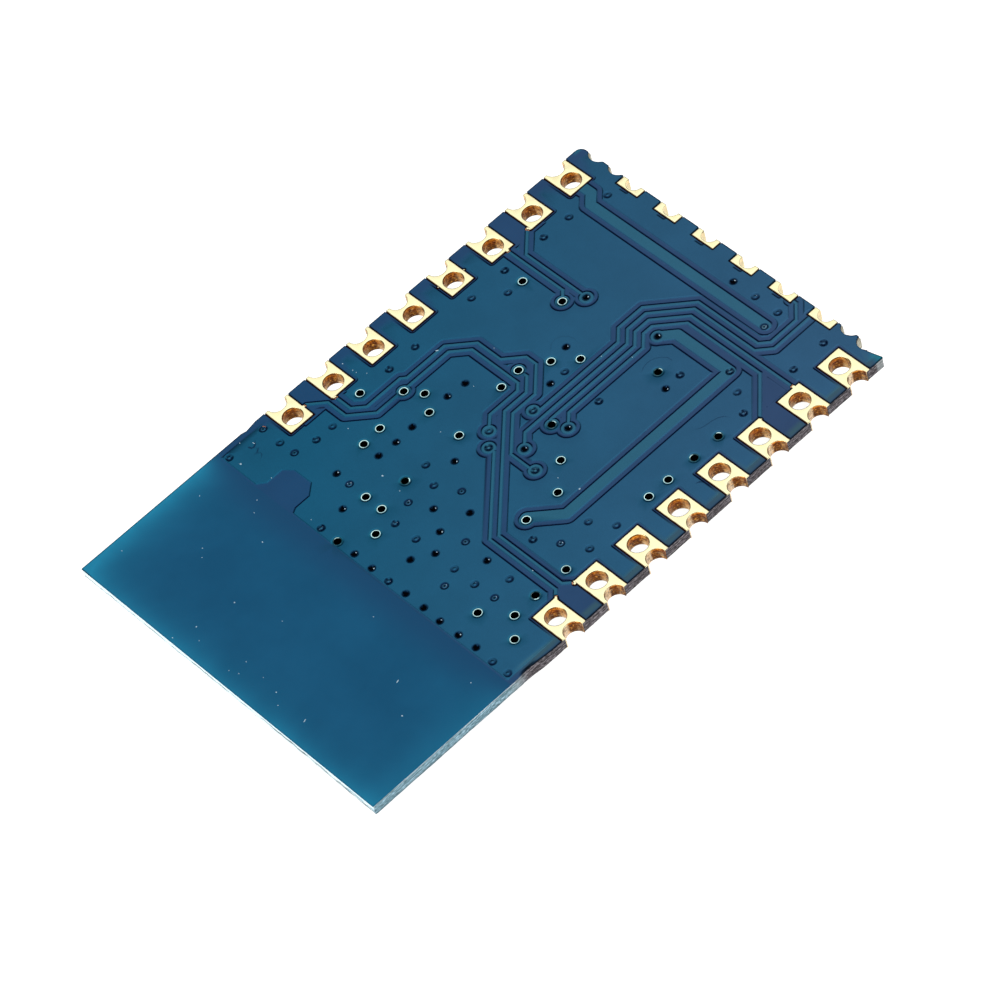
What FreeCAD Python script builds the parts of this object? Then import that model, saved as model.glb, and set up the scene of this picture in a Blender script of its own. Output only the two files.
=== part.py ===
import FreeCAD, Part
import math
import os

from FreeCAD import Vector, Placement, Rotation

# ---------------------------------------------------------------------------
# Castellated radio module, lying on its shield can with the solder pads up.
# Frame: +Z up, z = 0 at the outer face of the can, X across the board,
# +Y towards the end row of pads, -Y towards the antenna. Millimetres.
# ---------------------------------------------------------------------------

doc = FreeCAD.newDocument("wifi_module")
sheet = doc.addObject("Spreadsheet::Sheet", "dims")

DIMS = [
    # board stack, from the component side up to the pad side
    ("can_height", "2.32"),       # outer face of the can to the copper it is soldered to
    ("mask_thk", "0.02"),         # solder mask film
    ("foil_thk", "0.035"),        # outer copper foil
    ("core_thk", "0.49"),         # glass-fibre laminate
    ("land_thk", "0.05"),         # plated gold-faced land
    # board outline
    ("board_len", "24.82"),
    ("board_wid", "15.88"),       # width at the castellated part
    ("tail_wid", "15.76"),        # width at the antenna part
    ("tail_step", "-4.45"),       # Y where the antenna part begins
    ("corner_rad", "0.30"),
    # edge pads
    ("pad_pitch", "2.0"),
    ("row_first", "-2.96"),       # Y of the side pads nearest the antenna
    ("row_count", "8"),
    ("end_first", "-5.0"),        # X of the first pad of the end row
    ("end_count", "6"),
    ("pad_wid", "1.10"),          # along the board edge
    ("pad_inner", "6.42"),        # |X| of the side pads' inner edge
    ("end_inner", "11.99"),       # Y of the end pads' inner edge
    ("pin_x", "7.0"),             # |X| of the pin holes
    ("pin_rad", "0.395"),         # finished pin hole
    ("half_rad", "0.395"),        # finished half hole in the long edges
    ("end_rad", "0.335"),         # finished half hole in the end row
    ("plate_thk", "0.03"),        # copper plating in the holes
    ("bite_rad", "0.35"),         # mouse-bite notches left by the panel tabs
    ("mask_gap", "0.045"),        # mask opening beyond a land
    ("pad_gap", "0.15"),          # pour clearance round a land
    # tracks
    ("track_wid", "0.15"),
    ("supply_wid", "0.50"),
    ("pour_gap", "0.20"),         # pour clearance beside a track
    ("via_land", "0.29"),         # radius of a signal via's land
    ("via_clear", "0.44"),        # radius of its clearance in the pour
    ("via_bore", "0.125"),        # radius of an open via
    ("via_drill", "0.155"),       # radius of its drilled hole in the laminate
    ("via_ring", "0.185"),        # outer radius of its bare ring
    ("pour_end", "-5.87"),        # Y where the pour stops before the antenna
    ("edge_back", "0.28"),        # pour kept back from the board edge
    # shield can
    ("can_wid", "12.0"),
    ("can_len", "15.0"),
    ("can_mid", "3.30"),          # Y of the can's middle
    ("can_wall", "0.15"),
    ("can_corner", "0.55"),       # vertical corner radius
    ("can_edge", "0.22"),         # bend radius round the outer face
    # parts under the can
    ("soc_side", "5.0"),
    ("soc_thk", "0.80"),
    ("lead_thk", "0.07"),
    ("flash_len", "4.9"),
    ("flash_wid", "3.9"),
    ("flash_thk", "1.45"),
    ("xtal_len", "3.2"),
    ("xtal_wid", "2.5"),
    ("xtal_base", "0.45"),
    ("xtal_lid", "0.20"),
    ("chip_len", "1.0"),          # small chip capacitors and resistors
    ("chip_wid", "0.5"),
    ("cap_thk", "0.50"),
    ("res_thk", "0.35"),
    ("coil_len", "1.6"),
    ("coil_wid", "0.8"),
    ("lamp_len", "1.6"),
    ("lamp_wid", "0.8"),
    ("lamp_base", "0.30"),
    ("lamp_lens", "0.30"),
    ("joint_thk", "0.03"),        # solder under the small parts
    # printed antenna
    ("ant_wid", "0.50"),
]
for row, (alias, value) in enumerate(DIMS, start=1):
    sheet.set("A%d" % row, alias)
    sheet.set("B%d" % row, value)
    sheet.setAlias("B%d" % row, alias)
doc.recompute()


def D(alias):
    return float(getattr(sheet, alias))


# levels of the stack
Z_MASK_LOW = D("can_height") - D("mask_thk")
Z_FOIL_LOW = D("can_height")
Z_CORE = Z_FOIL_LOW + D("foil_thk")
Z_CORE_TOP = Z_CORE + D("core_thk")
Z_FOIL_TOP = Z_CORE_TOP + D("foil_thk")
Z_TOP = Z_FOIL_TOP + D("mask_thk")

LOW_MASK = "dims.can_height - dims.mask_thk"
CORE = "dims.can_height + dims.foil_thk"
CORE_TOP = "dims.can_height + dims.foil_thk + dims.core_thk"
TOP_MASK = "dims.can_height + 2 * dims.foil_thk + dims.core_thk"

HALF_L = D("board_len") / 2
HALF_W = D("board_wid") / 2

NODES = []


# ---------------------------------------------------------------------------
# helpers
# ---------------------------------------------------------------------------
def origin_plane(body, role):
    for feature in body.Origin.OriginFeatures:
        if feature.Role == role:
            return feature
    raise RuntimeError("no plane " + role)


def new_body(name, level):
    body = doc.addObject("PartDesign::Body", name)
    body.Label = name
    body.setExpression("Placement.Base.z", level)
    NODES.append(body)
    return body


def new_sketch(body, name):
    sketch = body.newObject("Sketcher::SketchObject", name)
    sketch.AttachmentSupport = [(origin_plane(body, "XY_Plane"), "")]
    sketch.MapMode = "FlatFace"
    return sketch


def add_loop(sketch, corners):
    """Closed loop of straight edges. corners: (x, y, x expression or None, y expression or None)."""
    import Sketcher
    first = sketch.GeometryCount
    count = len(corners)
    for i in range(count):
        a, b = corners[i], corners[(i + 1) % count]
        sketch.addGeometry(Part.LineSegment(Vector(a[0], a[1], 0), Vector(b[0], b[1], 0)), False)
    for i in range(count):
        sketch.addConstraint(Sketcher.Constraint("Coincident", first + i, 2, first + (i + 1) % count, 1))
    for i, (x, y, ex, ey) in enumerate(corners):
        n = sketch.addConstraint(Sketcher.Constraint("DistanceX", -1, 1, first + i, 1, x))
        if ex:
            sketch.setExpression("Constraints[%d]" % n, ex)
        n = sketch.addConstraint(Sketcher.Constraint("DistanceY", -1, 1, first + i, 1, y))
        if ey:
            sketch.setExpression("Constraints[%d]" % n, ey)


def add_circle(sketch, x, y, r, ex, ey, er):
    import Sketcher
    g = sketch.addGeometry(Part.Circle(Vector(x, y, 0), Vector(0, 0, 1), r), False)
    n = sketch.addConstraint(Sketcher.Constraint("Radius", g, r))
    if er:
        sketch.setExpression("Constraints[%d]" % n, er)
    n = sketch.addConstraint(Sketcher.Constraint("DistanceX", -1, 1, g, 3, x))
    if ex:
        sketch.setExpression("Constraints[%d]" % n, ex)
    n = sketch.addConstraint(Sketcher.Constraint("DistanceY", -1, 1, g, 3, y))
    if ey:
        sketch.setExpression("Constraints[%d]" % n, ey)


def pad(body, sketch, length, name):
    feature = body.newObject("PartDesign::Pad", name)
    feature.Profile = sketch
    feature.setExpression("Length", length)
    sketch.Visibility = False
    doc.recompute()
    return feature


def pocket(body, sketch, name):
    """Cut right through, upwards from the sketch; the volume must drop."""
    before = body.Shape.Volume
    feature = body.newObject("PartDesign::Pocket", name)
    feature.Profile = sketch
    feature.Type = 1
    feature.Reversed = True
    doc.recompute()
    if not feature.Shape.Volume < before - 1e-6:
        feature.Reversed = False
        doc.recompute()
    if not feature.Shape.Volume < before - 1e-6:
        raise RuntimeError(name + " cuts nothing")
    return feature


def pattern(body, feature, sketch, axis, length, count, name, value):
    before = body.Shape.Volume
    rep = body.newObject("PartDesign::LinearPattern", name)
    rep.Originals = [feature]
    rep.Direction = (sketch, [axis])
    rep.Length = value
    rep.setExpression("Length", length)
    rep.setExpression("Occurrences", count)
    body.Tip = rep
    doc.recompute()
    if not body.Shape.Volume < before - 1e-6:
        rep.Reversed = True
        doc.recompute()
    if not body.Shape.Volume < before - 1e-6:
        raise RuntimeError(name + " repeats nothing")
    return rep


def board_outline(body, prefix):
    """Outline shared by the laminate and both mask films: a wide castellated part, a slightly
    narrower antenna part with a short slanted step between them."""
    sketch = new_sketch(body, prefix + "_outline")
    w, t, l, s = D("board_wid") / 2, D("tail_wid") / 2, HALF_L, D("tail_step")
    W, T, L, S = "dims.board_wid / 2", "dims.tail_wid / 2", "dims.board_len / 2", "dims.tail_step"
    add_loop(sketch, [
        (-t, -l, "-" + T, "-" + L),
        (t, -l, T, "-" + L),
        (t, s - 0.9, T, S + " - 0.9"),
        (w, s - 0.5, W, S + " - 0.5"),
        (w, l, W, L),
        (-w, l, "-" + W, L),
        (-w, s + 0.3, "-" + W, S + " + 0.3"),
        (-t, s - 0.05, "-" + T, S + " - 0.05"),
    ])
    return sketch


def round_corners(body, base, radius, name, points):
    edges = []
    for i, edge in enumerate(base.Shape.Edges, start=1):
        a, b = edge.Vertexes[0].Point, edge.Vertexes[-1].Point
        if abs(a.x - b.x) < 1e-6 and abs(a.y - b.y) < 1e-6:
            for x, y in points:
                if abs(a.x - x) < 1e-3 and abs(a.y - y) < 1e-3:
                    edges.append("Edge%d" % i)
    fillet = body.newObject("PartDesign::Fillet", name)
    fillet.Base = (base, edges)
    fillet.setExpression("Radius", radius)
    doc.recompute()
    return fillet


BITES = [(-7.05, 0.06), (-6.05, 0.06), (6.17, -0.02), (7.16, -0.02)]


def bite_sketch(body, name):
    sketch = new_sketch(body, name)
    for x, dy in BITES:
        add_circle(sketch, x, HALF_L + dy, D("bite_rad"), None, "dims.board_len / 2 + %g" % dy, "dims.bite_rad")
    return sketch


# ---------------------------------------------------------------------------
# layout of the copper on the pad side. Every point is on the pad grid's own
# axes, moved onto the board by row_first.
# ---------------------------------------------------------------------------
SHIFT = D("row_first") + 2.90


def at(x, y):
    return (x, y + SHIFT)


OPEN_VIAS = [at(*p) for p in [
    (-4.92, 6.66), (-3.06, 6.92), (-0.59, 5.50), (-1.36, 4.75), (-2.00, 3.73), (-1.93, 2.81), (0.77, 2.79),
    (2.07, 6.84), (5.85, 6.17), (5.86, 4.96), (5.82, 3.71), (5.82, 2.76), (-3.93, 0.85), (-3.16, 0.38),
    (-4.62, 0.44), (-5.83, -0.63), (-4.05, -1.25), (-3.98, -2.10), (3.14, 0.85), (3.14, -0.69), (5.82, -1.28),
    (2.18, 1.90), (-1.53, 0.35), (-1.55, -2.27), (-2.15, -3.65), (-1.30, -3.65), (-0.64, -4.53), (-1.48, -5.62),
    (5.80, -2.73), (5.84, -3.78), (4.74, -4.53), (6.59, -4.48),
]]

# name, width, points, signal vias on the track
TRACKS = [
    ("line_1", "track_wid", [(3.50, 12.15), (3.75, 12.15), (4.30, 11.60), (4.30, 10.33), (3.965, 9.995), (0.901, 9.995),
                             (-0.542, 8.552), (-0.542, 7.358), (-0.067, 6.883), (-0.067, 3.02), (-0.233, 2.85)], [(-0.233, 2.80)]),
    ("line_2", "track_wid", [(4.60, 12.10), (4.60, 10.20), (4.095, 9.695), (1.023, 9.695), (-0.237, 8.435), (-0.237, 7.523),
                             (0.245, 7.041), (0.245, 1.95), (0.7875, 1.41)], [(0.7875, 1.41)]),
    ("line_3", "track_wid", [(6.60, 9.383), (1.155, 9.383), (0.067, 8.295), (0.067, 7.609), (0.542, 7.134), (0.542, 2.95),
                             (0.70, 2.79)], [(0.77, 2.79)]),
    ("line_4", "track_wid", [(6.60, 7.483), (5.0, 9.083), (1.293, 9.083), (0.370, 8.16), (0.370, 7.74), (0.842, 7.268),
                             (0.842, 3.56), (1.342, 3.06)], [(1.342, 3.06)]),
    ("line_5", "track_wid", [(-6.70, 8.57), (-5.74, 7.61), (-2.50, 7.61)], [(-2.50, 7.61)]),
    ("line_6", "track_wid", [(-6.60, 7.30), (-3.44, 7.30), (-3.06, 6.92)], [(-3.06, 6.92)]),
    ("line_7", "track_wid", [(-6.60, -1.315), (-5.60, -1.315), (-5.171, -0.887), (-5.171, 0.755), (-4.992, 0.934),
                             (-4.992, 2.798), (-4.125, 3.665), (-2.90, 3.665), (-2.230, 4.335), (-1.705, 4.335),
                             (-0.73, 3.36), (-0.73, 2.26), (0.575, 0.955), (1.73, 0.955)], [(1.79, 1.008)]),
    ("line_8", "track_wid", [(-7.03, -2.55), (-7.03, -2.23), (-6.45, -1.65), (-5.484, -1.65), (-4.67, -0.836),
                             (-4.67, 2.706), (-4.051, 3.325), (-1.605, 3.325), (-1.345, 3.065), (-1.345, 1.695),
                             (-0.817, 1.167)], [(-4.62, 0.44), (-0.817, 1.167)]),
    ("line_9", "track_wid", [(-2.0, 3.74), (-1.57, 3.74), (-1.04, 3.21), (-1.04, 2.14), (2.88, -1.78), (6.14, -1.78),
                             (6.60, -1.32)], [(-2.00, 3.73)]),
    ("line_10", "track_wid", [(-0.275, 0.646), (0.004, 0.646), (2.75, -2.10), (6.15, -2.10), (6.60, -2.55)], [(-0.275, 0.646)]),
    ("supply_1", "supply_wid", [(-6.70, 11.15), (-5.98, 11.15), (-5.57, 10.74), (3.61, 10.74)], [(3.61, 10.70)]),
    ("supply_2", "supply_wid", [(0.88, 7.985), (1.375, 8.48), (4.065, 8.48), (4.065, 0.385), (3.07, -0.61)], [(0.88, 7.97), (3.14, -0.69)]),
]

# strips between side pads that carry no pour: (side, lower pad, upper pad)
BARE = [(-1, 0, 1), (1, 0, 1), (-1, 5, 6), (1, 5, 6)]


def prism(points, z0, z1):
    wire = Part.makePolygon([Vector(x, y, z0) for x, y in points] + [Vector(points[0][0], points[0][1], z0)])
    return Part.Face(wire).extrude(Vector(0, 0, z1 - z0))


def ribbon(points, width):
    """Outline of a track: its centre line offset to both sides, mitred at the corners."""
    left, right = [], []
    for i, (x, y) in enumerate(points):
        dirs = []
        if i > 0:
            dirs.append((x - points[i - 1][0], y - points[i - 1][1]))
        if i < len(points) - 1:
            dirs.append((points[i + 1][0] - x, points[i + 1][1] - y))
        unit = [(a / math.hypot(a, b), b / math.hypot(a, b)) for a, b in dirs]
        nx = sum(-b for a, b in unit) / len(unit)
        ny = sum(a for a, b in unit) / len(unit)
        k = (width / 2) / (nx * nx + ny * ny)
        left.append((x + nx * k, y + ny * k))
        right.append((x - nx * k, y - ny * k))
    return left + right[::-1]


def disc(x, y, r, z0, z1):
    return Part.makeCylinder(r, z1 - z0, Vector(x, y, z0))


def box(x0, y0, z0, x1, y1, z1):
    return Part.makeBox(x1 - x0, y1 - y0, z1 - z0, Vector(x0, y0, z0))


def land_rects():
    """Every pad's land on the board: (x0, y0, x1, y1), side rows first."""
    rects = []
    h = D("pad_wid") / 2
    for side in (-1, 1):
        for k in range(int(D("row_count"))):
            y = D("row_first") + k * D("pad_pitch")
            xs = sorted((side * D("pad_inner"), side * HALF_W))
            rects.append((xs[0], y - h, xs[1], y + h))
    for k in range(int(D("end_count"))):
        x = D("end_first") + k * D("pad_pitch")
        rects.append((x - h, D("end_inner"), x + h, HALF_L))
    return rects


def feature(name, shape, place=Vector(0, 0, 0), turn=0):
    obj = doc.addObject("Part::Feature", name)
    obj.Label = name
    obj.Shape = shape
    obj.Placement = Placement(place, Rotation(Vector(0, 0, 1), turn))
    NODES.append(obj)
    return obj


# ---------------------------------------------------------------------------
# 1 substrate_board: laminate with pin holes, half holes, notches and via holes
# ---------------------------------------------------------------------------
core = new_body("substrate_board", CORE)
base = pad(core, board_outline(core, "core"), "dims.core_thk", "core_sheet")
base = round_corners(core, base, "dims.corner_rad", "core_corners", [(-HALF_W, HALF_L), (HALF_W, HALF_L)])

sk = new_sketch(core, "core_side_holes")
DRILL = "dims.pin_rad + dims.plate_thk"
HALF_DRILL = "dims.half_rad + dims.plate_thk"
for sign, word in ((-1, "-"), (1, "")):
    add_circle(sk, sign * D("pin_x"), D("row_first"), D("pin_rad") + D("plate_thk"), word + "dims.pin_x", "dims.row_first", DRILL)
    add_circle(sk, sign * (HALF_W + 0.001), D("row_first"), D("half_rad") + D("plate_thk"), word + "(dims.board_wid / 2)", "dims.row_first", HALF_DRILL)
side_holes = pocket(core, sk, "core_side_drill")
pattern(core, side_holes, sk, "V_Axis", "(dims.row_count - 1) * dims.pad_pitch", "dims.row_count", "core_side_rows", 14)

sk = new_sketch(core, "core_end_holes")
add_circle(sk, D("end_first"), HALF_L, D("end_rad") + D("plate_thk"), "dims.end_first", "dims.board_len / 2", "dims.end_rad + dims.plate_thk")
end_holes = pocket(core, sk, "core_end_drill")
pattern(core, end_holes, sk, "H_Axis", "(dims.end_count - 1) * dims.pad_pitch", "dims.end_count", "core_end_row", 10)

core.Tip = pocket(core, bite_sketch(core, "core_bites"), "core_bite_cut")

sk = new_sketch(core, "core_via_holes")
for x, y in OPEN_VIAS:
    add_circle(sk, x, y, D("via_drill"), None, None, "dims.via_drill")
core.Tip = pocket(core, sk, "core_via_drill")


# ---------------------------------------------------------------------------
# 2, 3 solder mask films, open round every land
# ---------------------------------------------------------------------------
def mask_film(name, level):
    body = new_body(name, level)
    film = pad(body, board_outline(body, name), "dims.mask_thk", name + "_sheet")
    round_corners(body, film, "dims.corner_rad", name + "_corners", [(-HALF_W, HALF_L), (HALF_W, HALF_L)])
    h, g = D("pad_wid") / 2 + D("mask_gap"), D("mask_gap")
    sk = new_sketch(body, name + "_side_windows")
    for sign, word in ((-1, "-"), (1, "")):
        add_loop(sk, [
            (sign * (D("pad_inner") - g), D("row_first") - h, word + "(dims.pad_inner - dims.mask_gap)", "dims.row_first - dims.pad_wid / 2 - dims.mask_gap"),
            (sign * (HALF_W + 1), D("row_first") - h, word + "(dims.board_wid / 2 + 1)", "dims.row_first - dims.pad_wid / 2 - dims.mask_gap"),
            (sign * (HALF_W + 1), D("row_first") + h, word + "(dims.board_wid / 2 + 1)", "dims.row_first + dims.pad_wid / 2 + dims.mask_gap"),
            (sign * (D("pad_inner") - g), D("row_first") + h, word + "(dims.pad_inner - dims.mask_gap)", "dims.row_first + dims.pad_wid / 2 + dims.mask_gap"),
        ])
    cut = pocket(body, sk, name + "_side_cut")
    pattern(body, cut, sk, "V_Axis", "(dims.row_count - 1) * dims.pad_pitch", "dims.row_count", name + "_side_rows", 14)
    sk = new_sketch(body, name + "_end_windows")
    x = D("end_first")
    add_loop(sk, [
        (x - h, D("end_inner") - g, "dims.end_first - dims.pad_wid / 2 - dims.mask_gap", "dims.end_inner - dims.mask_gap"),
        (x + h, D("end_inner") - g, "dims.end_first + dims.pad_wid / 2 + dims.mask_gap", "dims.end_inner - dims.mask_gap"),
        (x + h, HALF_L + 1, "dims.end_first + dims.pad_wid / 2 + dims.mask_gap", "dims.board_len / 2 + 1"),
        (x - h, HALF_L + 1, "dims.end_first - dims.pad_wid / 2 - dims.mask_gap", "dims.board_len / 2 + 1"),
    ])
    cut = pocket(body, sk, name + "_end_cut")
    pattern(body, cut, sk, "H_Axis", "(dims.end_count - 1) * dims.pad_pitch", "dims.end_count", name + "_end_row", 10)
    body.Tip = pocket(body, bite_sketch(body, name + "_bites"), name + "_bite_cut")
    return body


mask_top = mask_film("mask_pad_side", TOP_MASK)
sk = new_sketch(mask_top, "mask_via_windows")
for x, y in OPEN_VIAS:
    add_circle(sk, x, y, D("via_ring"), None, None, "dims.via_ring")
mask_top.Tip = pocket(mask_top, sk, "mask_via_cut")

# the component-side film leaves a bare frame where the can's rim is soldered
mask_low = mask_film("mask_can_side", LOW_MASK)
sk = new_sketch(mask_low, "mask_can_frame")
for d, word in ((0.15, "+ 0.15"), (-0.35, "- 0.35")):
    a, b, m = D("can_wid") / 2 + d, D("can_len") / 2 + d, D("can_mid")
    A, B = "(dims.can_wid / 2 %s)" % word, "(dims.can_len / 2 %s)" % word
    add_loop(sk, [
        (-a, m - b, "-" + A, "dims.can_mid - " + B), (a, m - b, A, "dims.can_mid - " + B),
        (a, m + b, A, "dims.can_mid + " + B), (-a, m + b, "-" + A, "dims.can_mid + " + B),
    ])
mask_low.Tip = pocket(mask_low, sk, "mask_can_frame_cut")


# ---------------------------------------------------------------------------
# 4 to 25 edge pads: a land on both faces, a plated pin hole and a plated half hole
# ---------------------------------------------------------------------------
def pad_master():
    """A side pad at X = pin_x on the right-hand edge, built from bound primitives about Y = 0."""
    parts = []

    def cyl(name, radius, x):
        c = doc.addObject("Part::Cylinder", name)
        c.setExpression("Radius", radius)
        c.setExpression("Height", "dims.core_thk + 2 * dims.land_thk")
        c.setExpression("Placement.Base.x", x)
        c.setExpression("Placement.Base.z", CORE + " - dims.land_thk")
        return c

    def slab(name, z):
        b = doc.addObject("Part::Box", name)
        b.setExpression("Length", "dims.board_wid / 2 - dims.pad_inner")
        b.setExpression("Width", "dims.pad_wid")
        b.setExpression("Height", "dims.land_thk")
        b.setExpression("Placement.Base.x", "dims.pad_inner")
        b.setExpression("Placement.Base.y", "-dims.pad_wid / 2")
        b.setExpression("Placement.Base.z", z)
        return b

    solid = doc.addObject("Part::MultiFuse", "side_pad_solid")
    solid.Shapes = [slab("side_land_top", CORE_TOP), slab("side_land_low", CORE + " - dims.land_thk"),
                    cyl("side_barrel", "dims.pin_rad + dims.plate_thk", "dims.pin_x"),
                    cyl("side_half_barrel", "dims.half_rad + dims.plate_thk", "dims.board_wid / 2")]
    tools = doc.addObject("Part::MultiFuse", "side_pad_cuts")
    beyond = doc.addObject("Part::Box", "side_beyond")
    for prop, word in (("Length", "2"), ("Width", "4"), ("Height", "4"), ("Placement.Base.x", "dims.board_wid / 2"), ("Placement.Base.y", "-2"), ("Placement.Base.z", "dims.can_height - 2")):
        beyond.setExpression(prop, word)
    tools.Shapes = [cyl("side_bore", "dims.pin_rad", "dims.pin_x"), cyl("side_half_bore", "dims.half_rad", "dims.board_wid / 2"), beyond]
    cut = doc.addObject("Part::Cut", "side_pad")
    cut.Base, cut.Tool = solid, tools
    return cut


def end_master():
    """An end pad about X = 0, its half hole in the board's end."""
    def cyl(name, radius):
        c = doc.addObject("Part::Cylinder", name)
        c.setExpression("Radius", radius)
        c.setExpression("Height", "dims.core_thk + 2 * dims.land_thk")
        c.setExpression("Placement.Base.y", "dims.board_len / 2")
        c.setExpression("Placement.Base.z", CORE + " - dims.land_thk")
        return c

    def slab(name, z):
        b = doc.addObject("Part::Box", name)
        b.setExpression("Length", "dims.pad_wid")
        b.setExpression("Width", "dims.board_len / 2 - dims.end_inner")
        b.setExpression("Height", "dims.land_thk")
        b.setExpression("Placement.Base.x", "-dims.pad_wid / 2")
        b.setExpression("Placement.Base.y", "dims.end_inner")
        b.setExpression("Placement.Base.z", z)
        return b

    solid = doc.addObject("Part::MultiFuse", "end_pad_solid")
    solid.Shapes = [slab("end_land_top", CORE_TOP), slab("end_land_low", CORE + " - dims.land_thk"), cyl("end_half_barrel", "dims.end_rad + dims.plate_thk")]
    tools = doc.addObject("Part::MultiFuse", "end_pad_cuts")
    beyond = doc.addObject("Part::Box", "end_beyond")
    for prop, word in (("Length", "4"), ("Width", "2"), ("Height", "4"), ("Placement.Base.x", "-2"), ("Placement.Base.y", "dims.board_len / 2"), ("Placement.Base.z", "dims.can_height - 2")):
        beyond.setExpression(prop, word)
    tools.Shapes = [cyl("end_half_bore", "dims.end_rad"), beyond]
    cut = doc.addObject("Part::Cut", "end_pad")
    cut.Base, cut.Tool = solid, tools
    return cut


side_pad = pad_master()
end_pad = end_master()
doc.recompute()
for side, word in ((-1, "left"), (1, "right")):
    for k in range(int(D("row_count"))):
        feature("pad_%s_%d" % (word, k + 1), side_pad.Shape.copy(),
                Vector(0, D("row_first") + k * D("pad_pitch"), 0), 180 if side < 0 else 0)
for k in range(int(D("end_count"))):
    feature("pad_end_%d" % (k + 1), end_pad.Shape.copy(), Vector(D("end_first") + k * D("pad_pitch"), 0, 0))


# ---------------------------------------------------------------------------
# 26, 27 copper under the pad-side mask: tracks with their via lands, and the pour round them
# ---------------------------------------------------------------------------
lands = land_rects()
# a land keeps its stack from the laminate up, so the foil of a track stops at its edge
land_stops = [box(r[0] - 0.001, r[1], Z_CORE_TOP - 0.2, r[2] + 1, r[3], Z_TOP + 0.2) if r[0] > 0 and r[2] > HALF_W - 0.01
              else box(r[0] - 1, r[1], Z_CORE_TOP - 0.2, r[2] + 0.001, r[3], Z_TOP + 0.2) if r[2] < 0 and r[0] < -HALF_W + 0.01
              else box(r[0], r[1], Z_CORE_TOP - 0.2, r[2], r[3] + 1, Z_TOP + 0.2) for r in lands]
rings = [disc(x, y, D("via_ring"), Z_CORE_TOP - 0.2, Z_TOP) for x, y in OPEN_VIAS]


def near(points, probe, reach):
    return [s for (x, y), s in zip(points, probe) if reach[0] - 1 < x < reach[2] + 1 and reach[1] - 1 < y < reach[3] + 1]


net_solids, slots = [], []
for name, width, points, vias in TRACKS:
    line = [at(*p) for p in points]
    w = D(width)
    copper = prism(ribbon(line, w), Z_CORE_TOP, Z_FOIL_TOP)
    copper = copper.fuse([disc(x, y + SHIFT, D("via_land"), Z_CORE_TOP, Z_FOIL_TOP) for x, y in vias]).removeSplitter()
    copper = copper.cut(land_stops + rings)
    net = max(copper.Solids, key=lambda s: s.Volume)
    net_solids.append(net)
    slots.append(prism(ribbon(line, w + 2 * D("pour_gap")), Z_CORE_TOP - 0.01, Z_FOIL_TOP + 0.01))
    slots += [disc(x, y + SHIFT, D("via_clear"), Z_CORE_TOP - 0.01, Z_FOIL_TOP + 0.01) for x, y in vias]
feature("signal_tracks", Part.makeCompound(net_solids))

e, q = D("edge_back"), D("pour_end")
notch = [at(*p) for p in [(-5.46, -5.50), (-5.46, -4.78), (-5.11, -4.49), (-4.17, -4.49), (-3.81, -4.92), (-3.81, -5.62)]]
outline = [(-HALF_W + e, q), (-5.75, q)] + notch + [(-3.60, q), (HALF_W - e, q), (HALF_W - e, HALF_L - e), (-HALF_W + e, HALF_L - e)]
pour = prism(outline, Z_CORE_TOP, Z_FOIL_TOP)
g = D("pad_gap")
for r in lands:
    side_pad_here = abs(r[0]) > HALF_W - 0.01 or abs(r[2]) > HALF_W - 0.01
    if side_pad_here:
        slots.append(box(r[0] - g - (1 if r[0] < 0 else 0), r[1] - g, Z_CORE_TOP - 0.01, r[2] + g + (1 if r[0] > 0 else 0), r[3] + g, Z_FOIL_TOP + 0.01))
    else:
        slots.append(box(r[0] - g, r[1] - g, Z_CORE_TOP - 0.01, r[2] + g, r[3] + 1, Z_FOIL_TOP + 0.01))
for side, low, high in BARE:
    xs = sorted((side * (D("pad_inner") - g), side * (HALF_W + 1)))
    slots.append(box(xs[0], D("row_first") + low * D("pad_pitch"), Z_CORE_TOP - 0.01, xs[1], D("row_first") + high * D("pad_pitch"), Z_FOIL_TOP + 0.01))
for x, dy in BITES:
    slots.append(disc(x, HALF_L + dy, D("bite_rad") + 0.15, Z_CORE_TOP - 0.01, Z_FOIL_TOP + 0.01))
pour = pour.cut(slots + rings)
islands = sorted(pour.Solids, key=lambda s: -s.Volume)
feature("ground_pour", Part.makeCompound([s for s in islands if s.Volume > 0.01 * D("foil_thk")]))

# 28 open vias: a plated tube with a bare flange on the pad side, closed by the film below
tubes = []
for x, y in OPEN_VIAS:
    tube = disc(x, y, D("via_drill"), Z_CORE, Z_CORE_TOP).fuse(disc(x, y, D("via_ring"), Z_CORE_TOP, Z_FOIL_TOP + 0.005))
    tubes.append(tube.cut(disc(x, y, D("via_bore"), Z_CORE - 0.1, Z_TOP + 0.1)).removeSplitter())
feature("via_barrels", Part.makeCompound(tubes))

# ---------------------------------------------------------------------------
# 29, 30 copper on the component side
# ---------------------------------------------------------------------------
low = box(-HALF_W + e, q + 0.25, Z_FOIL_LOW, HALF_W - e, HALF_L - e, Z_CORE)
low_cuts = [box(r[0] - g - (1 if r[2] < 0 and r[0] < -HALF_W + 0.01 else 0), r[1] - g, Z_FOIL_LOW - 0.01,
                r[2] + g + (1 if r[0] > 0 and r[2] > HALF_W - 0.01 else 0), r[3] + (1 if r[3] > HALF_L - 0.01 else g), Z_CORE + 0.01) for r in lands]
low_cuts += [disc(x, HALF_L + dy, D("bite_rad") + 0.15, Z_FOIL_LOW - 0.01, Z_CORE + 0.01) for x, dy in BITES]
low = low.cut(low_cuts)
feature("copper_can_side", max(low.Solids, key=lambda s: s.Volume))

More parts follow.
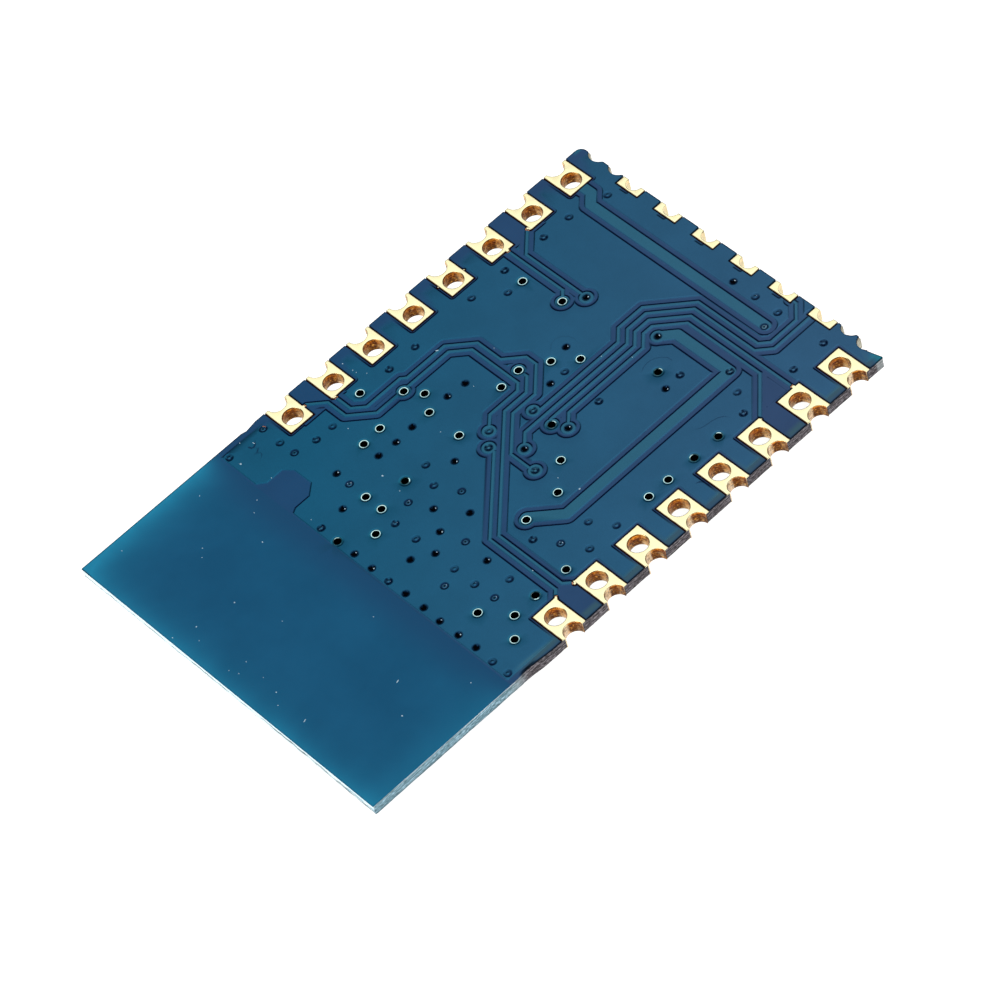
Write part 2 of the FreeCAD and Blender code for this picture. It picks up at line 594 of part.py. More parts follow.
# inverted-F antenna: feed and short leg side by side, then a folded arm
w = D("ant_wid")
arm = [(-4.6, -5.70), (-4.6, -7.0), (-6.9, -7.0), (-6.9, -11.6), (-5.3, -11.6), (-5.3, -8.6), (-3.7, -8.6), (-3.7, -11.6), (-2.1, -11.6), (-2.1, -8.6),
       (-0.5, -8.6), (-0.5, -11.6), (1.1, -11.6), (1.1, -8.6), (2.7, -8.6), (2.7, -11.6), (4.3, -11.6), (4.3, -8.6), (5.9, -8.6), (5.9, -11.6), (7.0, -11.6)]
antenna = prism(ribbon(arm, w), Z_FOIL_LOW, Z_CORE)
leg = prism(ribbon([(-6.9, -5.70), (-6.9, -7.2)], w), Z_FOIL_LOW, Z_CORE)
feature("antenna_trace", antenna.fuse(leg).removeSplitter())

# ---------------------------------------------------------------------------
# 31, 32 shield can: one folded sheet, and the solder that holds its rim
# ---------------------------------------------------------------------------
can = new_body("shield_can", "0")
sk = new_sketch(can, "can_plan")
a, b, m = D("can_wid") / 2, D("can_len") / 2, D("can_mid")
add_loop(sk, [
    (-a, m - b, "-dims.can_wid / 2", "dims.can_mid - dims.can_len / 2"), (a, m - b, "dims.can_wid / 2", "dims.can_mid - dims.can_len / 2"),
    (a, m + b, "dims.can_wid / 2", "dims.can_mid + dims.can_len / 2"), (-a, m + b, "-dims.can_wid / 2", "dims.can_mid + dims.can_len / 2"),
])
block = pad(can, sk, "dims.can_height", "can_block")
block = round_corners(can, block, "dims.can_corner", "can_corners", [(-a, m - b), (a, m - b), (a, m + b), (-a, m + b)])
low_edges = []
for i, edge in enumerate(block.Shape.Edges, start=1):
    if all(abs(v.Point.z) < 1e-6 for v in edge.Vertexes):
        low_edges.append("Edge%d" % i)
bend = can.newObject("PartDesign::Fillet", "can_bend")
bend.Base = (block, low_edges)
bend.setExpression("Radius", "dims.can_edge")
doc.recompute()
rim = None
for i, face in enumerate(bend.Shape.Faces, start=1):
    if abs(face.CenterOfMass.z - D("can_height")) < 1e-4:
        rim = "Face%d" % i
hollow = can.newObject("PartDesign::Thickness", "can_hollow")
hollow.Base = (bend, [rim])
hollow.setExpression("Value", "dims.can_wall")
hollow.Reversed = True
hollow.Join = 0
doc.recompute()
if hollow.Shape.BoundBox.XLength > D("can_wid") + D("can_wall"):
    hollow.Reversed = False
    doc.recompute()
can.Tip = hollow
doc.recompute()

tacks = []
for sx in (-1, 1):
    for fy in (-0.32, 0.0, 0.32):
        y = m + fy * D("can_len")
        x = sx * a
        tri = Part.makePolygon([Vector(x, y - 0.9, Z_FOIL_LOW), Vector(x + sx * 0.14, y - 0.9, Z_FOIL_LOW), Vector(x, y - 0.9, Z_FOIL_LOW - 0.32), Vector(x, y - 0.9, Z_FOIL_LOW)])
        tacks.append(Part.Face(tri).extrude(Vector(0, 1.8, 0)))
for sy in (-1, 1):
    for fx in (-0.28, 0.28):
        x = fx * D("can_wid")
        y = m + sy * b
        tri = Part.makePolygon([Vector(x - 0.9, y, Z_FOIL_LOW), Vector(x - 0.9, y + sy * 0.14, Z_FOIL_LOW), Vector(x - 0.9, y, Z_FOIL_LOW - 0.32), Vector(x - 0.9, y, Z_FOIL_LOW)])
        tacks.append(Part.Face(tri).extrude(Vector(1.8, 0, 0)))
feature("can_solder", Part.makeCompound(tacks))


# ---------------------------------------------------------------------------
# parts on the component side, hanging down from the film at LOW
# ---------------------------------------------------------------------------
LOW = Z_MASK_LOW


def block_node(name, length, width, height, cx, cy, drop, chamfer=None):
    """A bound box centred at (cx, cy) whose upper face lies drop below the film; optional edge chamfer."""
    body_box = doc.addObject("Part::Box", name + "_block")
    body_box.setExpression("Length", length)
    body_box.setExpression("Width", width)
    body_box.setExpression("Height", height)
    body_box.setExpression("Placement.Base.x", "%g - (%s) / 2" % (cx, length))
    body_box.setExpression("Placement.Base.y", "%g - (%s) / 2" % (cy, width))
    body_box.setExpression("Placement.Base.z", LOW_MASK + " - (%s) - (%s)" % (drop, height))
    doc.recompute()
    node = body_box
    if chamfer:
        node = doc.addObject("Part::Chamfer", name + "_chamfer")
        node.Base = body_box
        z = min(v.Z for v in body_box.Shape.Vertexes)
        picks = [(i, chamfer, chamfer) for i, edge in enumerate(body_box.Shape.Edges, start=1)
                 if all(abs(v.Z - z) < 1e-6 for v in edge.Vertexes) or abs(edge.Vertexes[0].Z - edge.Vertexes[-1].Z) > 1e-6]
        node.Edges = picks
        doc.recompute()
    node.Label = name
    NODES.append(node)
    return node


# radio processor: square no-lead package over its lead frame
soc_x, soc_y = -1.6, 1.2
block_node("soc_package", "dims.soc_side", "dims.soc_side", "dims.soc_thk", soc_x, soc_y, "dims.lead_thk", 0.08)
leads = [box(soc_x - 1.75, soc_y - 1.75, LOW - D("lead_thk"), soc_x + 1.75, soc_y + 1.75, LOW)]
for k in range(8):
    o = -1.75 + 0.5 * k
    for s in (-1, 1):
        x0, x1 = sorted((soc_x + s * 2.1, soc_x + s * D("soc_side") / 2))
        leads.append(box(x0, soc_y + o - 0.12, LOW - D("lead_thk"), x1, soc_y + o + 0.12, LOW))
        y0, y1 = sorted((soc_y + s * 2.1, soc_y + s * D("soc_side") / 2))
        leads.append(box(soc_x + o - 0.12, y0, LOW - D("lead_thk"), soc_x + o + 0.12, y1, LOW))
feature("soc_leadframe", Part.makeCompound(leads))

# serial memory: moulded body and eight gull-wing leads
fl_x, fl_y = -1.0, 7.3
block_node("flash_package", "dims.flash_len", "dims.flash_wid", "dims.flash_thk", fl_x, fl_y, "0.12", 0.10)
legs = []
for k in range(4):
    x = fl_x + (k - 1.5) * 1.27
    for s in (-1, 1):
        y = fl_y + s * D("flash_wid") / 2
        run = [(y, LOW - 0.95), (y + s * 0.30, LOW - 0.95), (y + s * 0.45, LOW - 0.18), (y + s * 1.0, LOW - 0.18),
               (y + s * 1.0, LOW), (y + s * 0.33, LOW), (y + s * 0.17, LOW - 0.77), (y, LOW - 0.77)]
        wire = Part.makePolygon([Vector(x - 0.2, p, z) for p, z in run] + [Vector(x - 0.2, run[0][0], run[0][1])])
        legs.append(Part.Face(wire).extrude(Vector(0.4, 0, 0)))
feature("flash_leads", Part.makeCompound(legs))

# clock crystal: ceramic base and metal lid
xt_x, xt_y = 3.5, 1.2
block_node("crystal_base", "dims.xtal_wid", "dims.xtal_len", "dims.xtal_base", xt_x, xt_y, "dims.joint_thk", 0.08)
block_node("crystal_lid", "dims.xtal_wid - 0.3", "dims.xtal_len - 0.3", "dims.xtal_lid", xt_x, xt_y, "dims.joint_thk + dims.xtal_base", 0.04)

block_node("inductor_rf", "dims.chip_wid", "dims.chip_len", "dims.cap_thk", -4.6, -2.2, "dims.joint_thk", 0.04)
block_node("inductor_supply", "dims.coil_len", "dims.coil_wid", "dims.coil_wid", 4.2, 8.8, "dims.joint_thk", 0.06)
CAPS = [(-3.4, -2.3), (-2.2, -2.3), (-0.2, -2.5), (1.9, 3.9), (2.0, -0.6), (4.6, 4.3), (4.6, 5.6), (2.9, 8.9)]
for n, (x, y) in enumerate(CAPS, start=1):
    block_node("capacitor_%d" % n, "dims.chip_wid", "dims.chip_len", "dims.cap_thk", x, y, "dims.joint_thk", 0.04)
RESISTORS = [(3.6, 4.3), (3.6, 5.6), (4.9, -2.0), (3.9, -2.0)]
for n, (x, y) in enumerate(RESISTORS, start=1):
    block_node("resistor_%d" % n, "dims.chip_wid", "dims.chip_len", "dims.res_thk", x, y, "dims.joint_thk", 0.03)

# status lamp outside the can, beside the antenna
block_node("led_base", "dims.lamp_len", "dims.lamp_wid", "dims.lamp_base", 5.6, -4.95, "dims.joint_thk", None)
block_node("led_lens", "dims.lamp_len - 0.5", "dims.lamp_wid", "dims.lamp_lens", 5.6, -4.95, "dims.joint_thk + dims.lamp_base", 0.08)

# ---------------------------------------------------------------------------
# checks, then one file per piece
# ---------------------------------------------------------------------------
doc.recompute()
for obj in doc.Objects:
    if "Invalid" in obj.State or "Error" in obj.State:
        raise RuntimeError("failed object: " + obj.Name + " " + str(obj.State))
labels = [n.Label for n in NODES]
assert len(labels) == len(set(labels)) and len(labels) <= 60, len(labels)
for node in NODES:
    shape = node.Shape
    if shape.isNull() or not shape.isValid() or not shape.Solids:
        raise RuntimeError("bad shape: " + node.Label)
    if not all(s.isClosed() for s in shape.Solids):
        raise RuntimeError("open solid: " + node.Label)

os.makedirs("parts", exist_ok=True)
for node in NODES:
    node.Shape.exportStep("parts/%s.step" % node.Label)
    bb = node.Shape.BoundBox
    print("%-16s solids %2d  volume %9.4f  z %.3f..%.3f  x %.2f..%.2f  y %.2f..%.2f" % (
        node.Label, len(node.Shape.Solids), node.Shape.Volume, bb.ZMin, bb.ZMax, bb.XMin, bb.XMax, bb.YMin, bb.YMax))
print(len(NODES), "nodes")
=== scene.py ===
import math

import bpy
import numpy as np
from mathutils import Matrix, Vector
from mathutils.geometry import delaunay_2d_cdt


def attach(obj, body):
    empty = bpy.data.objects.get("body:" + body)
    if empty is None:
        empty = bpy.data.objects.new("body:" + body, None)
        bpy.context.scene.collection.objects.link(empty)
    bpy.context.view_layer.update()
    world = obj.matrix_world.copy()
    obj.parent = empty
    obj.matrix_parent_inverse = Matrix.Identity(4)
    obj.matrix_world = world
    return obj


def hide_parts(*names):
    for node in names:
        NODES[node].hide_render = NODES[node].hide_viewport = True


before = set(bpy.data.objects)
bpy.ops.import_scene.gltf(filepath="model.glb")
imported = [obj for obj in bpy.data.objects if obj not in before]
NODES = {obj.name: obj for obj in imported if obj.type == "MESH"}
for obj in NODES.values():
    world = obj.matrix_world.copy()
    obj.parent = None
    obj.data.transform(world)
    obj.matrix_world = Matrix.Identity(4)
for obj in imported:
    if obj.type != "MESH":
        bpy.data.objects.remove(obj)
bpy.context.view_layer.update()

MM = 0.001

# ---------------------------------------------------------------------------
# levels in mm, as in the CAD, with the film a little proud of the copper it covers
# ---------------------------------------------------------------------------
Z_RIM = 2.320
Z_CORE = 2.355
Z_CORE_TOP = 2.845
Z_GAP = 2.8835            # film over bare laminate
RELIEF = 0.0235           # rise of the film over copper
Z_FILM = Z_GAP + RELIEF
Z_LAND = 2.902
SLOPE = 0.044             # half width of the film's slope at a copper edge
SHIFT = -0.06             # layout Y to board Y

# ---------------------------------------------------------------------------
# smooth value noise, the same on every run
# ---------------------------------------------------------------------------
def _hash(i, j, k, seed):
    n = (i.astype(np.int64) * 374761393 + j.astype(np.int64) * 668265263 + k.astype(np.int64) * 2147483647 + seed * 1274126177) & 0xFFFFFFFF
    n = ((n ^ (n >> 13)) * 1274126177) & 0xFFFFFFFF
    n = ((n ^ (n >> 16)) * 2246822519) & 0xFFFFFFFF
    n = n ^ (n >> 15)
    return (n & 0xFFFFFF) / float(0xFFFFFF)


def noise3(p, seed=0):
    p = np.asarray(p, float)
    f = np.floor(p)
    t = p - f
    t = t * t * (3 - 2 * t)
    i, j, k = f[:, 0], f[:, 1], f[:, 2]
    out = np.zeros(len(p))
    for di in (0, 1):
        for dj in (0, 1):
            for dk in (0, 1):
                w = (t[:, 0] if di else 1 - t[:, 0]) * (t[:, 1] if dj else 1 - t[:, 1]) * (t[:, 2] if dk else 1 - t[:, 2])
                out += w * _hash(i + di, j + dj, k + dk, seed)
    return out * 2 - 1


def fbm(p, octaves=3, seed=0):
    p = np.asarray(p, float)
    out, amp, tot = np.zeros(len(p)), 1.0, 0.0
    for o in range(octaves):
        out += amp * noise3(p * (2 ** o) + 17.3 * o, seed + o)
        tot += amp
        amp *= 0.5
    return out / tot


def smooth(a, b, x):
    t = np.clip((x - a) / (b - a), 0, 1)
    return t * t * (3 - 2 * t)


# ---------------------------------------------------------------------------
# signed distances in the plane, negative inside
# ---------------------------------------------------------------------------
def d_disc(p, c, r):
    return np.hypot(p[:, 0] - c[0], p[:, 1] - c[1]) - r


def d_box(p, x0, y0, x1, y1, r=0.0):
    qx = np.abs(p[:, 0] - (x0 + x1) / 2) - ((x1 - x0) / 2 - r)
    qy = np.abs(p[:, 1] - (y0 + y1) / 2) - ((y1 - y0) / 2 - r)
    return np.hypot(np.maximum(qx, 0), np.maximum(qy, 0)) + np.minimum(np.maximum(qx, qy), 0) - r


def d_poly(p, pts):
    pts = np.asarray(pts, float)
    d2 = np.full(len(p), 1e18)
    inside = np.zeros(len(p), bool)
    n = len(pts)
    for a in range(n):
        A, B = pts[a], pts[(a + 1) % n]
        e = B - A
        w = p - A
        t = np.clip((w @ e) / max(e @ e, 1e-12), 0, 1)
        q = w - t[:, None] * e
        d2 = np.minimum(d2, (q ** 2).sum(1))
        if A[1] != B[1]:
            cross = (p[:, 1] >= A[1]) != (p[:, 1] >= B[1])
            xs = A[0] + (p[:, 1] - A[1]) * (B[0] - A[0]) / (B[1] - A[1])
            inside ^= cross & (p[:, 0] < xs)
    d = np.sqrt(d2)
    return np.where(inside, -d, d)


def lines_field(p, lines, reach=0.75):
    """Distance to the nearest line less its half width. lines: (points, width)."""
    out = np.full(len(p), reach)
    for pts, width in lines:
        pts = np.asarray(pts, float)
        for a in range(len(pts) - 1):
            A, B = pts[a], pts[a + 1]
            lo, hi = np.minimum(A, B) - reach - width / 2, np.maximum(A, B) + reach + width / 2
            idx = np.nonzero((p[:, 0] > lo[0]) & (p[:, 0] < hi[0]) & (p[:, 1] > lo[1]) & (p[:, 1] < hi[1]))[0]
            if not len(idx):
                continue
            w = p[idx] - A
            e = B - A
            t = np.clip((w @ e) / (e @ e), 0, 1)
            q = w - t[:, None] * e
            out[idx] = np.minimum(out[idx], np.hypot(q[:, 0], q[:, 1]) - width / 2)
    return out


def discs_field(p, discs, reach=0.75):
    out = np.full(len(p), reach)
    for x, y, r in discs:
        idx = np.nonzero((np.abs(p[:, 0] - x) < reach + r) & (np.abs(p[:, 1] - y) < reach + r))[0]
        if len(idx):
            out[idx] = np.minimum(out[idx], np.hypot(p[idx, 0] - x, p[idx, 1] - y) - r)
    return out


def boxes_field(p, boxes, reach=0.75):
    out = np.full(len(p), reach)
    for x0, y0, x1, y1, r in boxes:
        idx = np.nonzero((p[:, 0] > x0 - reach) & (p[:, 0] < x1 + reach) & (p[:, 1] > y0 - reach) & (p[:, 1] < y1 + reach))[0]
        if len(idx):
            out[idx] = np.minimum(out[idx], d_box(p[idx], x0, y0, x1, y1, r))
    return out


# ---------------------------------------------------------------------------
# layout of the pad side, in layout mm
# ---------------------------------------------------------------------------
ROWS = [-2.9 + 2 * k for k in range(8)]
ENDS = [-5 + 2 * k for k in range(6)]
SIDE_LANDS = [(s, y) for s in (-1, 1) for y in ROWS]

OPEN_VIAS = [(-4.92, 6.66), (-3.06, 6.92), (-0.59, 5.50), (-1.36, 4.75), (-2.00, 3.73), (-1.93, 2.81), (0.77, 2.79),
             (2.07, 6.84), (5.85, 6.17), (5.86, 4.96), (5.82, 3.71), (5.82, 2.76), (-3.93, 0.85), (-3.16, 0.38),
             (-4.62, 0.44), (-5.83, -0.63), (-4.05, -1.25), (-3.98, -2.10), (3.14, 0.85), (3.14, -0.69), (5.82, -1.28),
             (2.18, 1.90), (-1.53, 0.35), (-1.55, -2.27), (-2.15, -3.65), (-1.30, -3.65), (-0.64, -4.53), (-1.48, -5.62),
             (5.80, -2.73), (5.84, -3.78), (4.74, -4.53), (6.59, -4.48)]
# filled over, but for a dark pinhole
PIN_VIAS = [(-2.50, 7.60), (1.24, 11.45), (2.83, 6.48), (0.88, 7.97), (-1.41, 5.55), (-0.63, 4.04), (1.342, 3.06), (-3.10, 2.104),
            (-3.17, 1.29), (-3.158, -0.467), (-3.108, -1.3), (-3.158, -2.117), (0.7875, 1.425), (-0.796, -0.54), (1.33, -1.75),
            (0.17, -2.46), (1.1, -2.996), (1.675, -3.746), (-2.408, -4.54), (1.175, -4.496), (-0.5875, -5.6), (0.37, -5.63),
            (2.14, -5.6), (3.35, -2.7875), (3.09, -5.6), (3.9625, -5.63), (4.9125, -5.6125), (5.7875, -5.58), (-3.767, -3.62)]
HALF_VIAS = [(4.85, -0.625), (0.39, -1.29), (2.975, -4.496), (-3.046, -3.64), (-5.692, -3.967), (4.7375, -3.717), (-0.754, -2.85),
             (2.14, -2.717), (3.61, 10.67), (-7.43, -3.975)]
TENTED = [(-5.40, 11.45), (-5.78, 9.83), (-5.82, 8.58), (-5.82, 6.60), (-4.96, 5.96), (-5.84, 4.94), (2.37, 11.45), (3.53, 11.44),
          (5.82, 11.47), (5.82, 9.95), (4.09, 8.47), (4.96, 7.98), (5.81, 7.45), (2.79, 7.24), (-0.62, 4.74), (1.34, 4.58),
          (-0.233, 2.80), (-5.808, 2.09), (-5.796, 0.79), (-5.496, -2.283), (-5.5, -3.067), (5.83, 1.167), (4.93, 0.646),
          (5.82, -0.133), (3.954, -1.133), (-0.817, 1.167), (-0.275, 0.646), (1.7875, 1.008), (-1.504, -1.3125), (-0.5875, -1.75),
          (-0.43, -3.775), (0.6625, -3.758), (2.704, -3.77), (3.758, -3.767), (4.558, -2.83), (-2.39, -5.6), (1.254, -5.63),
          (6.675, -5.62), (7.454, -5.61), (-6.4625, -4.0), (-7.42, -5.64)]
SIGNAL_LANDS = [(-0.233, 2.80), (0.7875, 1.425), (0.77, 2.79), (1.342, 3.06), (-2.50, 7.60), (-3.06, 6.92), (1.7875, 1.008),
                (-4.62, 0.44), (-0.817, 1.167), (-2.00, 3.73), (-0.275, 0.646), (0.88, 7.97), (3.14, -0.69)]

TRACKS = [
    ([(3.50, 12.15), (3.75, 12.15), (4.30, 11.60), (4.30, 10.33), (3.965, 9.995), (0.901, 9.995), (-0.542, 8.552), (-0.542, 7.358),
      (-0.067, 6.883), (-0.067, 3.02), (-0.233, 2.85)], 0.15),
    ([(4.60, 12.10), (4.60, 10.20), (4.095, 9.695), (1.023, 9.695), (-0.237, 8.435), (-0.237, 7.523), (0.245, 7.041), (0.245, 1.95),
      (0.7875, 1.41)], 0.15),
    ([(6.60, 9.383), (1.155, 9.383), (0.067, 8.295), (0.067, 7.609), (0.542, 7.134), (0.542, 2.95), (0.70, 2.79)], 0.15),
    ([(6.60, 7.483), (5.0, 9.083), (1.293, 9.083), (0.370, 8.16), (0.370, 7.74), (0.842, 7.268), (0.842, 3.56), (1.342, 3.06)], 0.15),
    ([(-6.70, 8.57), (-5.74, 7.61), (-2.50, 7.61)], 0.15),
    ([(-6.60, 7.30), (-3.44, 7.30), (-3.06, 6.92)], 0.15),
    ([(-6.60, -1.315), (-5.60, -1.315), (-5.171, -0.887), (-5.171, 0.755), (-4.992, 0.934), (-4.992, 2.798), (-4.125, 3.665),
      (-2.90, 3.665), (-2.230, 4.335), (-1.705, 4.335), (-0.73, 3.36), (-0.73, 2.26), (0.575, 0.955), (1.73, 0.955)], 0.15),
    ([(-7.03, -2.45), (-7.03, -2.23), (-6.45, -1.65), (-5.484, -1.65), (-4.67, -0.836), (-4.67, 2.706), (-4.051, 3.325),
      (-1.605, 3.325), (-1.345, 3.065), (-1.345, 1.695), (-0.817, 1.167)], 0.15),
    ([(-2.0, 3.74), (-1.57, 3.74), (-1.04, 3.21), (-1.04, 2.14), (2.88, -1.78), (6.14, -1.78), (6.60, -1.32)], 0.15),
    ([(-0.275, 0.646), (0.004, 0.646), (2.75, -2.10), (6.15, -2.10), (6.60, -2.55)], 0.15),
    ([(-6.70, 11.15), (-5.98, 11.15), (-5.57, 10.74), (3.61, 10.74)], 0.46),
    ([(0.88, 7.985), (1.375, 8.48), (4.065, 8.48), (4.065, 0.385), (3.07, -0.61)], 0.48),
]
POUR = [(-7.66, -5.81), (-5.73, -5.81), (-5.46, -5.50), (-5.46, -4.77), (-5.11, -4.49), (-4.19, -4.48), (-3.80, -4.93), (-3.80, -5.60),
        (-3.69, -5.79), (-3.64, -5.81), (7.66, -5.81), (7.66, 12.60), (-7.66, 12.60)]
BARE = [(-1, 0), (1, 0), (-1, 5), (1, 5)]        # (side, lower pad of the strip with no copper)

OUTLINE = [(-7.91, -12.35), (7.88, -12.35), (7.88, -5.62), (7.872, -5.48), (7.845, -5.28), (7.840, -5.02), (7.865, -4.68), (7.91, -4.30),
           (7.94, -3.92), (7.94, 12.32), (7.90, 12.335), (7.30, 12.18), (7.30, 12.47), (-7.94, 12.47), (-7.94, -3.92), (-7.855, -4.42), (-7.91, -4.64)]
BITES = [(-7.05, 12.69, 0.40), (-5.98, 12.66, 0.36), (6.16, 12.60, 0.35), (7.07, 12.50, 0.36)]      # x, y, radius
WINDOW = 0.048


def land_box(s, y, grow=0.0):
    x0, x1 = sorted((6.395 if s > 0 else -6.455, s * 9.0))
    return (x0 - grow, y - 0.55 - grow, x1 + grow, y + 0.55 + grow)


def end_box(x, grow=0.0):
    return (x - 0.555 - grow, 12.05 - grow, x + 0.555 + grow, 14.0 + grow)


CLEAR = ([land_box(s, y, 0.118) + (0.12,) for s, y in SIDE_LANDS] + [(x - 0.26, 11.925, x + 0.12, 12.3, 0.04) for x in ENDS[:5]]
         + [(min(s * 6.27, s * 9), ROWS[k], max(s * 6.27, s * 9), ROWS[k + 1], 0.02) for s, k in BARE]
         + [(5.34, 8.60, 6.32, 9.15, 0.02), (5.75, 8.15, 6.32, 8.70, 0.02)])      # none between the tracks to right 6 and 7


def outline_field(p):
    d = d_poly(p, OUTLINE)
    corner = (p[:, 0] < -7.64) & (p[:, 1] > 12.17)
    d = np.where(corner, np.hypot(p[:, 0] + 7.64, p[:, 1] - 12.17) - 0.30, d)
    for x, y, r in BITES:
        d = np.maximum(d, -d_disc(p, (x, y), r))
    return d


def copper_field(p):
    sig = np.minimum(lines_field(p, TRACKS), discs_field(p, [(x, y, 0.287) for x, y in SIGNAL_LANDS]))
    slot = np.minimum(lines_field(p, TRACKS) - 0.20, discs_field(p, [(x, y, 0.44) for x, y in SIGNAL_LANDS]))
    keep = np.minimum(slot, boxes_field(p, CLEAR))
    pour = np.maximum(d_poly(p, POUR), -keep)
    return sig, pour


def film_field(p):
    """Where the film is: inside the outline, outside the windows round the lands."""
    d = outline_field(p)
    win = boxes_field(p, [land_box(s, y, WINDOW) + (0.03,) for s, y in SIDE_LANDS] + [end_box(x, WINDOW) + (0.03,) for x in ENDS])
    win = np.minimum(win, bumps_field(p) - WINDOW)
    # the film has broken back a little from the bites
    win = np.minimum(win, discs_field(p, [(x - 0.07, y, r + (0.045 if x < 0 else 0.030)) for x, y, r in BITES]))
    return np.maximum(d, -win)


# small corners and nibs where a track leaves a land: (x, y, radius)
NIBS = [(-6.45, -1.36, 0.058), (-6.43, -1.30, 0.048), (-7.02, -2.36, 0.07), (6.43, -1.45, 0.05), (6.50, -1.50, 0.06), (6.41, -2.33, 0.05),
        (6.45, -2.36, 0.06), (-6.44, 7.31, 0.075), (-6.53, 8.54, 0.06), (-6.61, 8.50, 0.06), (6.38, 9.40, 0.075), (6.46, 7.60, 0.06),
        (6.50, 7.64, 0.05), (-7.05, 5.68, 0.035), (-7.2, 4.52, 0.035), (6.30, -0.30, 0.0)]
NIBS = [n for n in NIBS if n[2] > 0]


# hairlines in the film: (points, width, strength)
HAIRS = [([(2.06, 7.52), (1.86, 7.50), (1.69, 7.38), (1.55, 7.21), (1.48, 7.02), (1.47, 6.84), (1.52, 6.62)], 0.020, 0.42),
         ([(-1.46, 6.00), (-1.70, 5.93), (-1.89, 5.76), (-1.97, 5.55), (-1.93, 5.31), (-1.80, 5.16)], 0.020, 0.22),
         ([(5.37, 6.90), (5.25, 6.72), (5.19, 6.50), (5.15, 6.22), (5.10, 6.02)], 0.022, 0.48),
         ([(6.70, 4.47), (6.84, 4.38), (6.95, 4.42), (7.12, 4.48)], 0.030, 0.70), ([(6.86, 4.40), (6.76, 4.31)], 0.035, 0.75),
         ([(-6.50, -2.01), (-6.38, -1.90)], 0.045, 0.90), ([(6.03, -1.68), (6.11, -1.61), (6.25, -1.50)], 0.035, 0.85),
         ([(-7.13, -4.62), (-7.05, -4.74), (-7.09, -4.84), (-7.20, -4.87)], 0.045, 0.70), ([(-6.86, -4.72), (-6.80, -4.80)], 0.035, 0.60),
         ([(-6.62, -4.76), (-6.55, -4.80)], 0.030, 0.45), ([(6.62, 7.10), (6.80, 7.16)], 0.030, 0.5)]


def bumps_field(p):
    return discs_field(p, NIBS, 0.4)


# ---------------------------------------------------------------------------
# contours of a field on a grid
# ---------------------------------------------------------------------------
CASES = {1: [("B", "L")], 2: [("R", "B")], 4: [("T", "R")], 8: [("L", "T")], 3: [("R", "L")], 6: [("T", "B")], 12: [("L", "R")], 9: [("B", "T")],
         14: [("L", "B")], 13: [("B", "R")], 11: [("R", "T")], 7: [("T", "L")], 5: [("B", "L"), ("T", "R")], 10: [("R", "B"), ("L", "T")]}


def contours(F, x0, y0, d, level):
    G = F - level
    G = np.where(np.abs(G) < 1e-9, 1e-9, G)
    I = (G < 0).astype(np.int32)
    code = I[:-1, :-1] + 2 * I[:-1, 1:] + 4 * I[1:, 1:] + 8 * I[1:, :-1]
    H, W = G.shape
    starts, ends = [], []
    for c, segs in CASES.items():
        jj, ii = np.nonzero(code == c)
        if not len(jj):
            continue
        ids = {"B": (jj * W + ii) * 2, "T": ((jj + 1) * W + ii) * 2, "L": (jj * W + ii) * 2 + 1, "R": (jj * W + ii + 1) * 2 + 1}
        for a, b in segs:
            starts.append(ids[a])
            ends.append(ids[b])
    if not starts:
        return []
    starts, ends = np.concatenate(starts), np.concatenate(ends)
    allid = np.unique(np.concatenate([starts, ends]))
    cell, vert = allid // 2, (allid % 2).astype(bool)
    j, i = cell // W, cell % W
    j2, i2 = j + vert, i + (~vert)
    g0, g1 = G[j, i], G[np.minimum(j2, H - 1), np.minimum(i2, W - 1)]
    t = g0 / (g0 - g1)
    px = x0 + d * (i + np.where(vert, 0, t))
    py = y0 + d * (j + np.where(vert, t, 0))
    where = {int(k): n for n, k in enumerate(allid)}
    nxt = dict(zip(starts.tolist(), ends.tolist()))
    incoming = set(ends.tolist())
    loops, seen = [], set()
    heads = [s for s in nxt if s not in incoming] + list(nxt)
    for s in heads:
        if s in seen:
            continue
        chain, cur = [], s
        while cur in nxt and cur not in seen:
            seen.add(cur)
            chain.append(cur)
            cur = nxt[cur]
        closed = cur == s
        if not closed:
            chain.append(cur)
        pts = np.array([(px[where[k]], py[where[k]]) for k in chain])
        if len(pts) >= 3:
            loops.append((pts, closed))
    return loops


def simplify(pts, closed, tol):
    if closed:
        far = int(np.argmax(((pts - pts[0]) ** 2).sum(1)))
        if far == 0:
            return pts
        a = simplify(pts[:far + 1], False, tol)
        b = simplify(np.vstack([pts[far:], pts[:1]]), False, tol)
        return np.vstack([a[:-1], b[:-1]])
    keep = np.zeros(len(pts), bool)
    keep[0] = keep[-1] = True
    stack = [(0, len(pts) - 1)]
    while stack:
        a, b = stack.pop()
        if b - a < 2:
            continue
        A, B = pts[a], pts[b]
        e = B - A
        L = math.hypot(*e)
        q = pts[a + 1:b] - A
        dist = np.abs(q[:, 0] * e[1] - q[:, 1] * e[0]) / L if L > 1e-12 else np.hypot(q[:, 0], q[:, 1])
        k = int(np.argmax(dist))
        if dist[k] > tol:
            keep[a + 1 + k] = True
            stack += [(a, a + 1 + k), (a + 1 + k, b)]
    return pts[keep]


def resample(pts, step):
    """Closed loop at an even spacing, its sharp corners kept."""
    q = np.vstack([pts, pts[:1]])
    out = []
    for a in range(len(pts)):
        L = math.hypot(*(q[a + 1] - q[a]))
        n = max(1, int(math.ceil(L / step)))
        out.append(q[a] + (q[a + 1] - q[a]) * (np.arange(n) / n)[:, None])
    return np.vstack(out)


def circle(x, y, r, n, phase=0.0):
    a = np.arange(n) * (2 * math.pi / n) + phase
    return np.stack([x + r * np.cos(a), y + r * np.sin(a)], 1)


